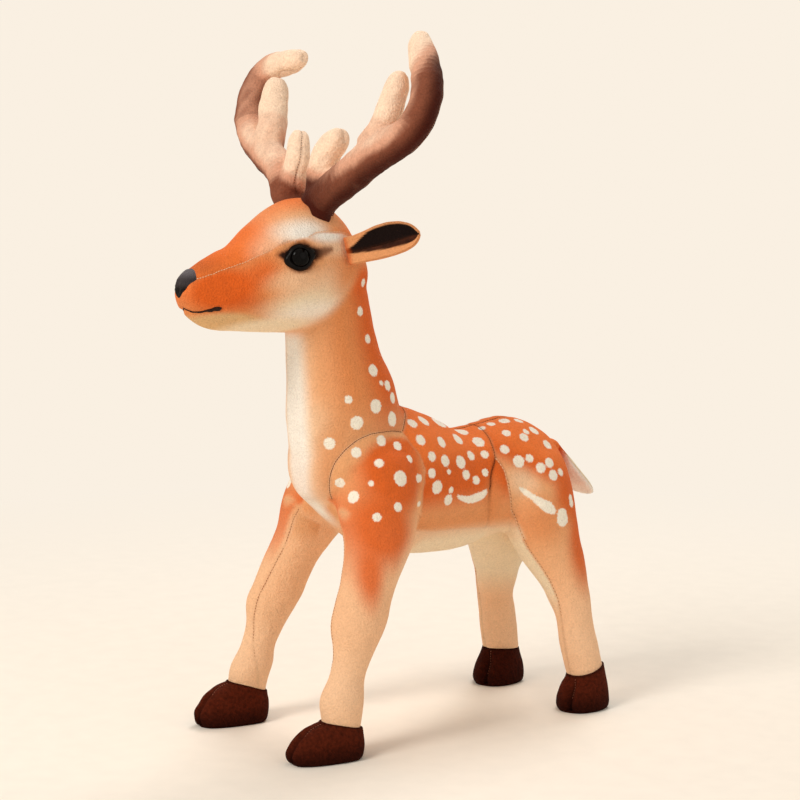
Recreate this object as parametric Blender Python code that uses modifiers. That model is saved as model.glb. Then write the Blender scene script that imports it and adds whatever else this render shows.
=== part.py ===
# Standing plush deer with antlers, stiffened by a wire frame inside its stuffing.
# It faces -Y, its left side is +X, and its hooves stand on z = 0.
# Every cover is a cloth shell round its own stuffing, cut along its seams.

from math import cos, pi, radians, sin

import bmesh
import bpy
import numpy as np
from mathutils import Matrix, Vector

for thing in list(bpy.data.objects):
    bpy.data.objects.remove(thing, do_unlink=True)

# Cloth, clearances and cutters
CLOTH = 0.0012
GAP = 0.0003
OVERRUN = 0.004

# Trunk
TRUNK_LENGTH = 0.211
TRUNK_DEPTH = 0.098
TRUNK_WIDTH = 0.079
TRUNK_FRONT_SHARE = 0.353
CHEST_STRIPE_WIDTH = 0.018
BELLY_SEAM_SHARE = 0.17
CHEST_STRIPE_BACK_SHARE = 0.14

# Neck
NECK_LENGTH = 0.048
NECK_DEPTH = 0.056
NECK_WIDTH = 0.050

# Head
HEAD_LENGTH = 0.127
HEAD_HEIGHT = 0.079
HEAD_WIDTH = 0.057
HEAD_REACH_SHARE = 0.374
FACE_SEAM_NOSE_SHARE = 0.30
FACE_SEAM_EAR_SHARE = 0.68
NOSE_LENGTH = 0.0075
NOSE_TOP_SHARE = 0.49
NOSE_SLOPE = radians(24)

# Legs and hooves
LEG_LENGTH = 0.082
FRONT_STANCE = 0.106
REAR_STANCE = 0.088
FRONT_LEG_DEPTH = 0.0504
REAR_LEG_DEPTH = 0.0526
LEG_WIDTH_SHARE = 0.85
HOOF_HEIGHT = 0.022
FRONT_HOOF_LENGTH = 0.044
REAR_HOOF_LENGTH = 0.034
HOOF_WIDTH = 0.030
SOLE_THICKNESS = 0.0016
FRONT_TOE_SHARE = 0.27
REAR_TOE_SHARE = 0.09

# Antlers
ANTLER_SPREAD = 0.095
ANTLER_HEIGHT = 0.102
ANTLER_THICKNESS = 0.025
ANTLER_LEAN = radians(24)
ANTLER_ALONG_SHARE = 0.63
ANTLER_ROOT_DEPTH = 0.012

# Ears
EAR_LENGTH = 0.045
EAR_HEIGHT = 0.018
EAR_THICKNESS = 0.005
EAR_SWEEP = radians(46)
EAR_RISE = radians(14)
EAR_ALONG_SHARE = 0.75
EAR_TURN = radians(15)

# Eyes
EYE_RADIUS = 0.0086
EYE_DOME = 0.0055
EYE_RIM = 0.0012
EYE_SHANK_RADIUS = 0.002
EYE_SHANK_LENGTH = 0.011
EYE_ALONG_SHARE = 0.50
EYE_TURN = radians(11)
WASHER_RADIUS = 0.0065
WASHER_THICKNESS = 0.0014
WASHER_SETBACK = 0.0032

# Tail
TAIL_LENGTH = 0.042
TAIL_WIDTH = 0.027
TAIL_THICKNESS = 0.007
TAIL_DROOP = radians(49)
TAIL_ALONG_SHARE = 0.93

# Wire frame
WIRE_RADIUS = 0.0015
ARCH_RISE_SHARE = 0.50
ARCH_FOOT_SHARE = 0.45
ARCH_BEND_SHARES = (0.55, 0.5, 0.25)
ROD_END_SHARES = (0.58, 0.55)
CLIP_LENGTH = 0.012
CLIP_WIDTH = 0.010
CLIP_HEIGHT = 0.013

# Facets round each form
TRUNK_SIDES = 18
HEAD_SIDES = 16
NECK_SIDES = 14
LEG_SIDES = 10
HOOF_SIDES = 10
ANTLER_SIDES = 8
LEAF_SIDES = 8
TURNED_STEPS = 14
DOME_STEPS = 4
PATH_STEPS = 2

# Places worked out from the sizes
TRUNK_LOW_Z = HOOF_HEIGHT + LEG_LENGTH
TRUNK_TOP_Z = TRUNK_LOW_Z + TRUNK_DEPTH
HEAD_LOW_Z = TRUNK_TOP_Z + NECK_LENGTH
# The head reaches forward and the tail back, and their middle is over the origin.
TRUNK_FRONT_Y = -TRUNK_FRONT_SHARE * TRUNK_LENGTH
HEAD_FRONT_Y = TRUNK_FRONT_Y - HEAD_REACH_SHARE * TRUNK_LENGTH
REACH = 2 * (TRUNK_LENGTH + HEAD_LENGTH)

PARTS = bpy.data.collections.new("plush_deer")
CUTTERS = bpy.data.collections.new("cutters")
bpy.context.scene.collection.children.link(PARTS)
bpy.context.scene.collection.children.link(CUTTERS)

# Stations of the forms, from one end to the other.
# Each row of the trunk and head: share along, top, bottom, width.
TRUNK_SHARES = (
    (0.000, 0.72, 0.58, 0.10), (0.014, 0.83, 0.47, 0.41), (0.062, 0.93, 0.37, 0.72),
    (0.137, 0.98, 0.22, 0.92), (0.227, 0.99, 0.09, 1.00), (0.346, 0.98, 0.03, 0.97),
    (0.469, 0.88, 0.01, 0.88), (0.550, 0.80, 0.01, 0.85), (0.654, 0.81, 0.05, 0.90),
    (0.754, 0.84, 0.09, 0.95), (0.848, 0.78, 0.13, 0.90), (0.929, 0.64, 0.21, 0.72),
    (0.981, 0.49, 0.30, 0.41), (1.000, 0.42, 0.36, 0.10),
)
HEAD_SHARES = (
    (0.000, 0.42, 0.25, 0.20), (0.024, 0.475, 0.16, 0.33), (0.094, 0.53, 0.07, 0.43),
    (0.173, 0.59, 0.03, 0.50), (0.260, 0.65, 0.02, 0.61), (0.362, 0.80, 0.01, 0.77),
    (0.472, 0.92, 0.00, 0.93), (0.583, 0.99, 0.00, 1.00), (0.693, 0.98, 0.00, 0.99),
    (0.803, 0.88, 0.05, 0.91), (0.898, 0.70, 0.14, 0.72), (0.960, 0.56, 0.25, 0.46),
    (1.000, 0.46, 0.34, 0.16),
)
# Neck rows: height above the trunk's low line as a share of the rise to the head's middle,
# share of the trunk's length behind its front, depth, width.
NECK_SHARES = (
    (0.30, 0.194, 1.18, 1.02), (0.44, 0.166, 1.27, 1.20), (0.56, 0.147, 1.25, 1.24),
    (0.65, 0.128, 1.11, 1.10), (0.74, 0.114, 1.02, 1.00), (0.82, 0.104, 0.98, 0.98),
    (0.89, 0.090, 0.96, 0.96), (0.97, 0.062, 0.79, 0.80),
)
# Leg rows: share of the rise, of the way in, of the way along, and of the depth.
FRONT_LEG_SHARES = (
    (-0.03, -0.02, -0.03, 0.51), (0.11, 0.07, 0.10, 0.51), (0.23, 0.11, 0.26, 0.52),
    (0.30, 0.14, 0.32, 0.63), (0.39, 0.21, 0.45, 0.66), (0.47, 0.26, 0.56, 0.69),
    (0.54, 0.34, 0.70, 0.77), (0.62, 0.45, 0.82, 0.90), (0.71, 0.60, 0.88, 1.00),
    (0.82, 0.76, 0.96, 0.98), (0.90, 0.87, 1.00, 0.91), (0.97, 1.08, 1.00, 0.56),
    (1.00, 1.10, 1.00, 0.30),
)
REAR_LEG_SHARES = (
    (-0.03, -0.02, -0.03, 0.48), (0.11, 0.05, 0.12, 0.49), (0.22, 0.09, 0.23, 0.47),
    (0.30, 0.18, 0.31, 0.54), (0.36, 0.29, 0.38, 0.61), (0.46, 0.51, 0.51, 0.80),
    (0.55, 0.63, 0.69, 0.91), (0.64, 0.72, 0.84, 0.98), (0.74, 0.78, 0.91, 1.00),
    (0.83, 0.84, 0.95, 0.94), (0.89, 0.88, 0.97, 0.83), (0.96, 1.17, 1.00, 0.40),
    (1.00, 1.20, 1.00, 0.20),
)
FRONT_ROOT_SHARES = (0.203, 0.204, 0.857)
REAR_ROOT_SHARES = (0.177, 0.773, 0.796)
FRONT_HOOF_ALONG_SHARE = -0.026
REAR_HOOF_ALONG_SHARE = 0.903
# The frame's wire follows the leg's middle at these rows.
WIRE_ROWS = (2, 5, 7)
# Hoof rows: share of the height, of the toe's reach, of the length, of the width.
HOOF_SHARES = (
    (0.00, 1.00, 0.91, 0.87), (0.14, 1.00, 1.00, 1.00), (0.41, 0.85, 0.96, 1.00),
    (0.68, 0.46, 0.79, 0.90),
)
# Antler rows: share of the spread, of the height, of the thickness, and forward of the plane.
BEAM_SHARES = (
    (0.18, 0.00, 0.76, 0.00), (0.27, 0.12, 0.82, 0.00), (0.45, 0.24, 0.98, 0.00),
    (0.68, 0.35, 1.04, 0.08), (0.88, 0.47, 0.96, 0.13), (0.98, 0.62, 0.86, 0.16),
    (0.94, 0.80, 0.78, 0.17), (0.80, 0.93, 0.68, 0.08), (0.67, 0.985, 0.50, 0.00),
    (0.61, 1.00, 0.24, 0.00),
)
MID_TINE_SHARES = (
    (0.64, 0.40, 0.52, 0.08), (0.67, 0.53, 0.66, 0.15), (0.70, 0.68, 0.62, 0.22),
    (0.70, 0.77, 0.46, 0.24), (0.70, 0.80, 0.22, 0.24),
)
BROW_TINE_SHARES = (
    (0.18, 0.08, 0.66, 0.00), (0.19, 0.22, 0.80, 0.10), (0.205, 0.33, 0.80, 0.18),
    (0.22, 0.41, 0.56, 0.20), (0.225, 0.45, 0.26, 0.20),
)
# Leaf rows for the ears and tail: share along, share of the width, share of the thickness.
EAR_SHARES = (
    (0.12, 0.88, 1.04), (0.34, 1.00, 1.00), (0.56, 0.94, 0.92), (0.77, 0.70, 0.80),
    (0.91, 0.42, 0.62), (1.00, 0.10, 0.24),
)
TAIL_SHARES = (
    (0.18, 0.66, 1.00), (0.42, 0.86, 1.20), (0.68, 1.00, 1.20), (0.90, 0.92, 0.90),
    (1.00, 0.56, 0.44),
)
ROOT_TURNS = (radians(78), radians(42), 0)
EAR_ROOT_SHARE = 0.88
TAIL_ROOT_SHARE = 0.50


def paint(name, colour, roughness, metallic=0.0):
    """A Principled material of one colour."""
    material = bpy.data.materials.new(name)
    material.use_nodes = True
    shader = material.node_tree.nodes["Principled BSDF"]
    shader.inputs["Base Color"].default_value = (*colour, 1)
    shader.inputs["Roughness"].default_value = roughness
    shader.inputs["Metallic"].default_value = metallic
    return material


RUSSET_PLUSH = paint("russet_plush", (0.66, 0.24, 0.08), 0.9)
PEACH_PLUSH = paint("peach_plush", (0.80, 0.55, 0.38), 0.9)
CREAM_PLUSH = paint("cream_plush", (0.90, 0.82, 0.70), 0.9)
ANTLER_PLUSH = paint("antler_plush", (0.30, 0.14, 0.09), 0.9)
HOOF_PLUSH = paint("hoof_plush", (0.08, 0.03, 0.02), 0.9)
NOSE_PLUSH = paint("nose_plush", (0.06, 0.055, 0.055), 0.9)
LINING_PLUSH = paint("lining_plush", (0.07, 0.04, 0.03), 0.9)
EYE_PLASTIC = paint("eye_plastic", (0.01, 0.01, 0.01), 0.12)
WASHER_PLASTIC = paint("washer_plastic", (0.85, 0.85, 0.82), 0.5)
FIBRE_FILL = paint("fibre_fill", (0.92, 0.91, 0.88), 1.0)
FRAME_WIRE = paint("frame_wire", (0.55, 0.55, 0.56), 0.35, 1.0)
CLIP_PLASTIC = paint("clip_plastic", (0.80, 0.80, 0.78), 0.5)


def add(name, mesh, material, matrix=None):
    """A part's object, in the collection of parts."""
    thing = bpy.data.objects.new(name, mesh)
    if matrix is not None:
        thing.matrix_world = matrix
    mesh.materials.clear()
    mesh.materials.append(material)
    mesh.shade_smooth()
    PARTS.objects.link(thing)
    return thing


def tool(name, mesh):
    """A cutter, kept out of the model."""
    thing = bpy.data.objects.new(name, mesh)
    thing.hide_render = True
    thing.display_type = "WIRE"
    CUTTERS.objects.link(thing)
    return thing


def oval(centre, side, rise, half_side, high, low, count):
    """A ring of points: half_side sideways, high along rise and low against it."""
    turns = np.arange(count) * 2 * pi / count
    up = np.where(np.sin(turns) >= 0, high, low)
    across = np.outer(half_side * np.cos(turns), np.array(side))
    return np.array(centre) + across + np.outer(up * np.sin(turns), np.array(rise))


def loft(name, rings):
    """A closed mesh of triangles through rings of equal counts, with a flat cap at each end."""
    count = len(rings[0])
    shape = bmesh.new()
    rows = [[shape.verts.new(point) for point in ring] for ring in rings]
    for row, following in zip(rows, rows[1:]):
        for index in range(count):
            after = (index + 1) % count
            shape.faces.new((row[index], row[after], following[after]))
            shape.faces.new((row[index], following[after], following[index]))
    shape.faces.new(rows[0])
    shape.faces.new(rows[-1])
    bmesh.ops.recalc_face_normals(shape, faces=shape.faces)
    mesh = bpy.data.meshes.new(name)
    shape.to_mesh(mesh)
    shape.free()
    return mesh


def swell(mesh, distance):
    """A copy of a mesh with every face moved out by a distance, or in by a negative one."""
    shape = bmesh.new()
    shape.from_mesh(mesh)
    shape.normal_update()
    moves = [vertex.normal * distance * vertex.calc_shell_factor() for vertex in shape.verts]
    for vertex, move in zip(shape.verts, moves):
        vertex.co += move
    swollen = bpy.data.meshes.new(mesh.name + "_swollen")
    shape.to_mesh(swollen)
    shape.free()
    return swollen


def combine(thing, cutter, operation, solver="EXACT"):
    """A Boolean that stays on the object."""
    boolean = thing.modifiers.new(cutter.name, "BOOLEAN")
    boolean.operation = operation
    boolean.object = cutter
    boolean.solver = solver


def cut(thing, *cutters):
    """Take cutters away from a piece."""
    for cutter in cutters:
        combine(thing, cutter, "DIFFERENCE")


def keep(thing, *regions):
    """Keep what lies inside every region."""
    for region in regions:
        combine(thing, region, "INTERSECT")


def cloth_shell(name, mesh, material):
    """A cover: the form's skin, one cloth thickness deep."""
    thing = add(name, mesh.copy(), material)
    wall = thing.modifiers.new("cloth", "SOLIDIFY")
    wall.thickness = CLOTH
    wall.offset = -1
    wall.use_even_offset = True
    return thing


def box(name, low, high):
    """A box cutter between two corners."""
    bpy.ops.mesh.primitive_cube_add(size=1)
    cube = bpy.context.object
    mesh = cube.data
    bpy.data.objects.remove(cube, do_unlink=True)
    low = Vector(low)
    high = Vector(high)
    mesh.transform(Matrix.Translation((low + high) / 2) @ Matrix.Diagonal((*(high - low), 1)))
    return tool(name, mesh)


def half_space(name, point, normal):
    """A box on the side of a seam that the normal points to, half a gap clear of the seam."""
    normal = Vector(normal).normalized()
    bpy.ops.mesh.primitive_cube_add(size=REACH)
    cube = bpy.context.object
    mesh = cube.data
    bpy.data.objects.remove(cube, do_unlink=True)
    turn = normal.to_track_quat("Z", "Y").to_matrix().to_4x4()
    centre = Vector(point) + normal * (REACH + GAP) / 2
    mesh.transform(Matrix.Translation(centre) @ turn)
    return tool(name, mesh)


def both_sides(name, point, normal):
    """The two sides of one seam plane."""
    normal = Vector(normal)
    return half_space(name + "_over", point, normal), half_space(name + "_under", point, -normal)


def smooth_path(points, steps):
    """Points along a smooth curve through the given ones, from cubic pieces."""
    given = np.array(points, float)
    padded = np.vstack((2 * given[0] - given[1], given, 2 * given[-1] - given[-2]))
    path = []
    for before, start, end, after in zip(padded, padded[1:], padded[2:], padded[3:]):
        for share in np.arange(steps) / steps:
            square = share * share
            cube = square * share
            path.append(0.5 * (2 * start + (end - before) * share
                               + (2 * before - 5 * start + 4 * end - after) * square
                               + (3 * start - before - 3 * end + after) * cube))
    path.append(given[-1])
    return path


def tube_mesh(name, points, radius):
    """A round wire through points, as a closed mesh with welded caps."""
    curve = bpy.data.curves.new(name, "CURVE")
    curve.dimensions = "3D"
    curve.bevel_depth = radius
    curve.bevel_resolution = 1
    curve.use_fill_caps = True
    spline = curve.splines.new("POLY")
    spline.points.add(len(points) - 1)
    for place, point in zip(spline.points, points):
        place.co = (*point, 1)
    holder = bpy.data.objects.new(name, curve)
    CUTTERS.objects.link(holder)
    graph = bpy.context.evaluated_depsgraph_get()
    mesh = bpy.data.meshes.new_from_object(holder.evaluated_get(graph))
    bpy.data.objects.remove(holder, do_unlink=True)
    shape = bmesh.new()
    shape.from_mesh(mesh)
    bmesh.ops.remove_doubles(shape, verts=shape.verts, dist=radius / 100)
    bmesh.ops.recalc_face_normals(shape, faces=shape.faces)
    shape.to_mesh(mesh)
    shape.free()
    mesh.name = name
    return mesh


def turned(name, profile, matrix, material=None):
    """A turned piece: a profile of (radius, height) swept about its own Z axis."""
    mesh = bpy.data.meshes.new(name)
    corners = [(radius, 0, height) for radius, height in profile]
    closed = profile[0][0] > 0
    edges = [(index, index + 1) for index in range(len(corners) - 1)]
    if closed:
        edges.append((len(corners) - 1, 0))
    mesh.from_pydata(corners, edges, [])
    thing = tool(name, mesh) if material is None else add(name, mesh, material)
    thing.matrix_world = matrix
    sweep = thing.modifiers.new("turn", "SCREW")
    sweep.steps = TURNED_STEPS
    sweep.render_steps = TURNED_STEPS
    sweep.use_merge_vertices = True
    sweep.merge_threshold = 0.00001
    return thing


def trunk_rings():
    """Upright ovals from the chest to the rump."""
    rings = []
    for along, top, bottom, width in TRUNK_SHARES:
        middle_z = TRUNK_LOW_Z + (top + bottom) / 2 * TRUNK_DEPTH
        half = (top - bottom) / 2 * TRUNK_DEPTH
        centre = (0, TRUNK_FRONT_Y + along * TRUNK_LENGTH, middle_z)
        rings.append(oval(centre, (1, 0, 0), (0, 0, 1), width * TRUNK_WIDTH / 2, half, half, TRUNK_SIDES))
    return rings


def head_rings():
    """Upright ovals from the nose to the back of the head."""
    rings = []
    for along, top, bottom, width in HEAD_SHARES:
        middle_z = HEAD_LOW_Z + (top + bottom) / 2 * HEAD_HEIGHT
        half = (top - bottom) / 2 * HEAD_HEIGHT
        centre = (0, HEAD_FRONT_Y + along * HEAD_LENGTH, middle_z)
        rings.append(oval(centre, (1, 0, 0), (0, 0, 1), width * HEAD_WIDTH / 2, half, half, HEAD_SIDES))
    return rings


def neck_rings():
    """Level ovals from inside the chest up into the head."""
    rise = HEAD_LOW_Z + HEAD_HEIGHT / 2 - TRUNK_LOW_Z
    rings = []
    for height, along, depth, width in NECK_SHARES:
        centre = (0, TRUNK_FRONT_Y + along * TRUNK_LENGTH, TRUNK_LOW_Z + height * rise)
        half = depth * NECK_DEPTH / 2
        rings.append(oval(centre, (1, 0, 0), (0, 1, 0), width * NECK_WIDTH / 2, half, half, NECK_SIDES))
    return rings


def on_rings(rings, along, turn):
    """The point and outward normal of a form at a share along it and a turn round it."""
    ends = np.array([ring.mean(axis=0) for ring in rings])
    steps = np.concatenate(([0], np.cumsum(np.linalg.norm(np.diff(ends, axis=0), axis=1))))
    place = np.interp(along * steps[-1], steps, np.arange(len(rings)))
    count = len(rings[0])
    stack = np.array(rings)

    def at(row, column):
        row = min(max(row, 0), len(rings) - 1)
        low_row = min(int(row), len(rings) - 2)
        low_column = int(np.floor(column))
        row_part = row - low_row
        column_part = column - low_column
        near = stack[low_row, low_column % count] * (1 - column_part)
        near = near + stack[low_row, (low_column + 1) % count] * column_part
        far = stack[low_row + 1, low_column % count] * (1 - column_part)
        far = far + stack[low_row + 1, (low_column + 1) % count] * column_part
        return near * (1 - row_part) + far * row_part

    column = turn / (2 * pi) * count
    point = at(place, column)
    lengthways = at(place + 0.5, column) - at(place - 0.5, column)
    around = at(place, column + 0.5) - at(place, column - 0.5)
    normal = Vector(np.cross(around, lengthways)).normalized()
    if normal.dot(Vector(point) - Vector(at(place, column + count / 2))) < 0:
        normal = -normal
    return Vector(point), normal


def leg_rings(side, front):
    """Level ovals from the hoof up into the trunk, and the leg's axis as a list of points."""
    shares = FRONT_LEG_SHARES if front else REAR_LEG_SHARES
    root_shares = FRONT_ROOT_SHARES if front else REAR_ROOT_SHARES
    depth = FRONT_LEG_DEPTH if front else REAR_LEG_DEPTH
    hoof = hoof_top(side, front)
    root = Vector((side * root_shares[0] * TRUNK_WIDTH,
                   TRUNK_FRONT_Y + root_shares[1] * TRUNK_LENGTH,
                   TRUNK_LOW_Z + root_shares[2] * TRUNK_DEPTH))
    way = root - hoof
    rings = []
    axis = []
    for rise, inward, along, share in shares:
        centre = hoof + Vector((way.x * inward, way.y * along, way.z * rise))
        half = share * depth / 2
        rings.append(oval(centre, (1, 0, 0), (0, 1, 0), half * LEG_WIDTH_SHARE, half, half, LEG_SIDES))
        axis.append(centre)
    return rings, axis


def hoof_top(side, front):
    """The middle of the ring where a leg meets its hoof."""
    stance = FRONT_STANCE if front else REAR_STANCE
    along = FRONT_HOOF_ALONG_SHARE if front else REAR_HOOF_ALONG_SHARE
    return Vector((side * stance / 2, TRUNK_FRONT_Y + along * TRUNK_LENGTH, HOOF_HEIGHT))


def hoof_rings(side, front):
    """Level ovals from the sole to just above the hoof's top, which fits the leg's end."""
    top = hoof_top(side, front)
    length = FRONT_HOOF_LENGTH if front else REAR_HOOF_LENGTH
    reach = length * (FRONT_TOE_SHARE if front else REAR_TOE_SHARE)
    rings = []
    for height, forward, long, wide in HOOF_SHARES:
        centre = Vector((top.x, top.y - forward * reach, height * HOOF_HEIGHT))
        half_length = long * length / 2
        half_width = wide * HOOF_WIDTH / 2
        rings.append(oval(centre, (1, 0, 0), (0, 1, 0), half_width, half_length, half_length, HOOF_SIDES))
    shares = FRONT_LEG_SHARES if front else REAR_LEG_SHARES
    depth = FRONT_LEG_DEPTH if front else REAR_LEG_DEPTH
    half = shares[0][3] * depth / 2
    for height in (0, OVERRUN):
        centre = top + Vector((0, 0, height))
        rings.append(oval(centre, (1, 0, 0), (0, 1, 0), half * LEG_WIDTH_SHARE, half, half, HOOF_SIDES))
    return rings


def antler_rings(side, shares, inset):
    """Round sections strung along a branch, square to it, drawn in by an inset all round."""
    lean = Vector((0, sin(ANTLER_LEAN), cos(ANTLER_LEAN)))
    forward = Vector((0, -cos(ANTLER_LEAN), sin(ANTLER_LEAN)))
    foot, _ = on_rings(HEAD, ANTLER_ALONG_SHARE, pi / 2)
    points = []
    for spread, height, _, out in shares:
        point = Vector((side * spread * ANTLER_SPREAD, foot.y, foot.z))
        points.append(point + lean * height * ANTLER_HEIGHT + forward * out * ANTLER_THICKNESS)
    if shares is BEAM_SHARES:
        points[0] -= lean * (ANTLER_ROOT_DEPTH + inset)
    else:
        points[0] += (points[1] - points[0]).normalized() * inset
    points[-1] -= (points[-1] - points[-2]).normalized() * inset
    rings = []
    for index, (point, row) in enumerate(zip(points, shares)):
        before = points[max(index - 1, 0)]
        after = points[min(index + 1, len(points) - 1)]
        way = (after - before).normalized()
        across = forward.cross(way).normalized()
        # Turned by half a facet, so that the edge seam crosses the middles of facets.
        across = across * cos(pi / ANTLER_SIDES) + way.cross(across) * sin(pi / ANTLER_SIDES)
        half = max(row[2] * ANTLER_THICKNESS / 2 - inset, inset / 2)
        rings.append(oval(point, across, way.cross(across), half, half, half, ANTLER_SIDES))
    return rings


def antler_mesh(side, inset):
    """The beam and its two tines joined into one form."""
    whole = tool("antler_form", loft("beam", antler_rings(side, BEAM_SHARES, inset)))
    tines = []
    for shares in (MID_TINE_SHARES, BROW_TINE_SHARES):
        tines.append(tool("tine", loft("tine", antler_rings(side, shares, inset))))
        combine(whole, tines[-1], "UNION", "MANIFOLD")
    graph = bpy.context.evaluated_depsgraph_get()
    mesh = bpy.data.meshes.new_from_object(whole.evaluated_get(graph))
    for spent in (whole, *tines):
        bpy.data.objects.remove(spent, do_unlink=True)
    return mesh


def leaf_rings(root, way, wide, thick, length, width, thickness, root_share, shares):
    """A flat leaf whose root is rounded about the line through its root point."""
    radius = thickness / 2
    rings = []
    for turn in ROOT_TURNS:
        centre = root - way * radius * sin(turn)
        half = root_share * width / 2 - radius * (1 - cos(turn))
        depth = radius * cos(turn)
        rings.append(oval(centre, wide, thick, half, depth, depth, LEAF_SIDES))
    for along, broad, deep in shares:
        centre = root + way * along * length
        depth = deep * radius
        rings.append(oval(centre, wide, thick, broad * width / 2, depth, depth, LEAF_SIDES))
    return rings


TRUNK = trunk_rings()
HEAD = head_rings()
NECK = neck_rings()
TRUNK_MESH = loft("trunk_form", TRUNK)
HEAD_MESH = loft("head_form", HEAD)
NECK_MESH = loft("neck_form", NECK)
TRUNK_CLEAR = tool("trunk_clear", swell(TRUNK_MESH, GAP))
HEAD_CLEAR = tool("head_clear", swell(HEAD_MESH, GAP))
LEFT, RIGHT = both_sides("middle", (0, 0, 0), (1, 0, 0))
SIDES = (("left", 1, LEFT), ("right", -1, RIGHT))


def wire_frame():
    """Two leg arches, a spine rod and the two clips that hold them, with their cutters."""
    tools = {}
    spine_z = TRUNK_LOW_Z + ARCH_RISE_SHARE * TRUNK_DEPTH
    crossing = 2 * WIRE_RADIUS + GAP
    for label, front in (("front", True), ("rear", False)):
        _, left_axis = leg_rings(1, front)
        foot = hoof_top(1, front)
        foot = Vector((foot.x, foot.y, ARCH_FOOT_SHARE * HOOF_HEIGHT))
        knees = [left_axis[row] for row in WIRE_ROWS]
        shoulder = knees[-1]
        crown = Vector((0, left_axis[-1].y, spine_z))
        half = [foot] + knees
        gap = shoulder - crown
        half.append(crown + Vector([share * step for share, step in zip(ARCH_BEND_SHARES, gap)]))
        mirrored = [Vector((-point.x, point.y, point.z)) for point in reversed(half)]
        path = smooth_path(half + [crown] + mirrored, PATH_STEPS)
        add(label + "_leg_wire", tube_mesh(label + "_leg_wire", path, WIRE_RADIUS), FRAME_WIRE)
        start = Vector(path[0]) + (Vector(path[0]) - Vector(path[1])).normalized() * GAP
        end = Vector(path[-1]) + (Vector(path[-1]) - Vector(path[-2])).normalized() * GAP
        longer = [start] + path[1:-1] + [end]
        tools[label] = tool(label + "_leg_channel", tube_mesh(label, longer, WIRE_RADIUS + GAP))
        tools[label + "_crown"] = crown
    front_crown = tools["front_crown"]
    rear_crown = tools["rear_crown"]
    rod_z = spine_z + crossing
    neck_middle = Vector(NECK[4].mean(axis=0))
    neck_top = Vector(NECK[-2].mean(axis=0))
    along, rise = ROD_END_SHARES
    head_middle = Vector((0, HEAD_FRONT_Y + along * HEAD_LENGTH, HEAD_LOW_Z + rise * HEAD_HEIGHT))
    points = [
        Vector((0, rear_crown.y + CLIP_LENGTH, rod_z)),
        Vector((0, rear_crown.y, rod_z)),
        Vector((0, (rear_crown.y + front_crown.y) / 2, rod_z)),
        Vector((0, front_crown.y + CLIP_LENGTH, rod_z)),
        Vector((0, front_crown.y, rod_z + WIRE_RADIUS)),
        Vector(NECK[2].mean(axis=0)),
        neck_middle,
        neck_top,
        head_middle,
    ]
    path = smooth_path(points, PATH_STEPS)
    add("spine_rod", tube_mesh("spine_rod", path, WIRE_RADIUS), FRAME_WIRE)
    start = Vector(path[0]) + Vector((0, GAP, 0))
    end = Vector(path[-1]) + (Vector(path[-1]) - Vector(path[-2])).normalized() * GAP
    longer = [start] + path[1:-1] + [end]
    tools["rod"] = tool("spine_rod_channel", tube_mesh("rod", longer, WIRE_RADIUS + GAP))
    for label in ("front", "rear"):
        crown = tools[label + "_crown"] + Vector((0, 0, crossing / 2))
        half = Vector((CLIP_WIDTH, CLIP_LENGTH, CLIP_HEIGHT)) / 2
        block = box(label + "_block", crown - half, crown + half)
        clip = add("frame_clip_" + label, block.data.copy(), CLIP_PLASTIC)
        bpy.data.objects.remove(block, do_unlink=True)
        cut(clip, tools[label], tools["rod"])
        room = Vector((GAP, GAP, GAP))
        tools[label + "_pocket"] = box(label + "_pocket", crown - half - room, crown + half + room)
    return tools


FRAME = wire_frame()


def trunk():
    """Back panels, belly panel and chest panel round the trunk's stuffing."""
    belly_z = TRUNK_LOW_Z + BELLY_SEAM_SHARE * TRUNK_DEPTH
    above, below = both_sides("belly_seam", (0, 0, belly_z), (0, 0, 1))
    stripe = CHEST_STRIPE_WIDTH / 2
    back = TRUNK_FRONT_Y + CHEST_STRIPE_BACK_SHARE * TRUNK_LENGTH
    front = TRUNK_FRONT_Y - OVERRUN
    strip = box("chest_strip", (-stripe, front, belly_z + GAP / 2), (stripe, back, TRUNK_TOP_Z + OVERRUN))
    room = stripe + GAP
    top = TRUNK_TOP_Z + 2 * OVERRUN
    clear = box("chest_strip_clear", (-room, front - GAP, belly_z - GAP), (room, back + GAP, top))
    for label, _, region in SIDES:
        panel = cloth_shell("back_panel_" + label, TRUNK_MESH, RUSSET_PLUSH)
        keep(panel, region, above)
        cut(panel, clear, FRAME["front"], FRAME["rear"], FRAME["rod"])
    chest = cloth_shell("chest_panel", TRUNK_MESH, CREAM_PLUSH)
    keep(chest, strip)
    belly = cloth_shell("belly_panel", TRUNK_MESH, CREAM_PLUSH)
    keep(belly, below)
    cut(belly, FRAME["front"], FRAME["rear"])
    fill = add("trunk_stuffing", swell(TRUNK_MESH, -(CLOTH + GAP)), FIBRE_FILL)
    cut(fill, FRAME["front"], FRAME["rear"], FRAME["rod"], FRAME["front_pocket"], FRAME["rear_pocket"])


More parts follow.
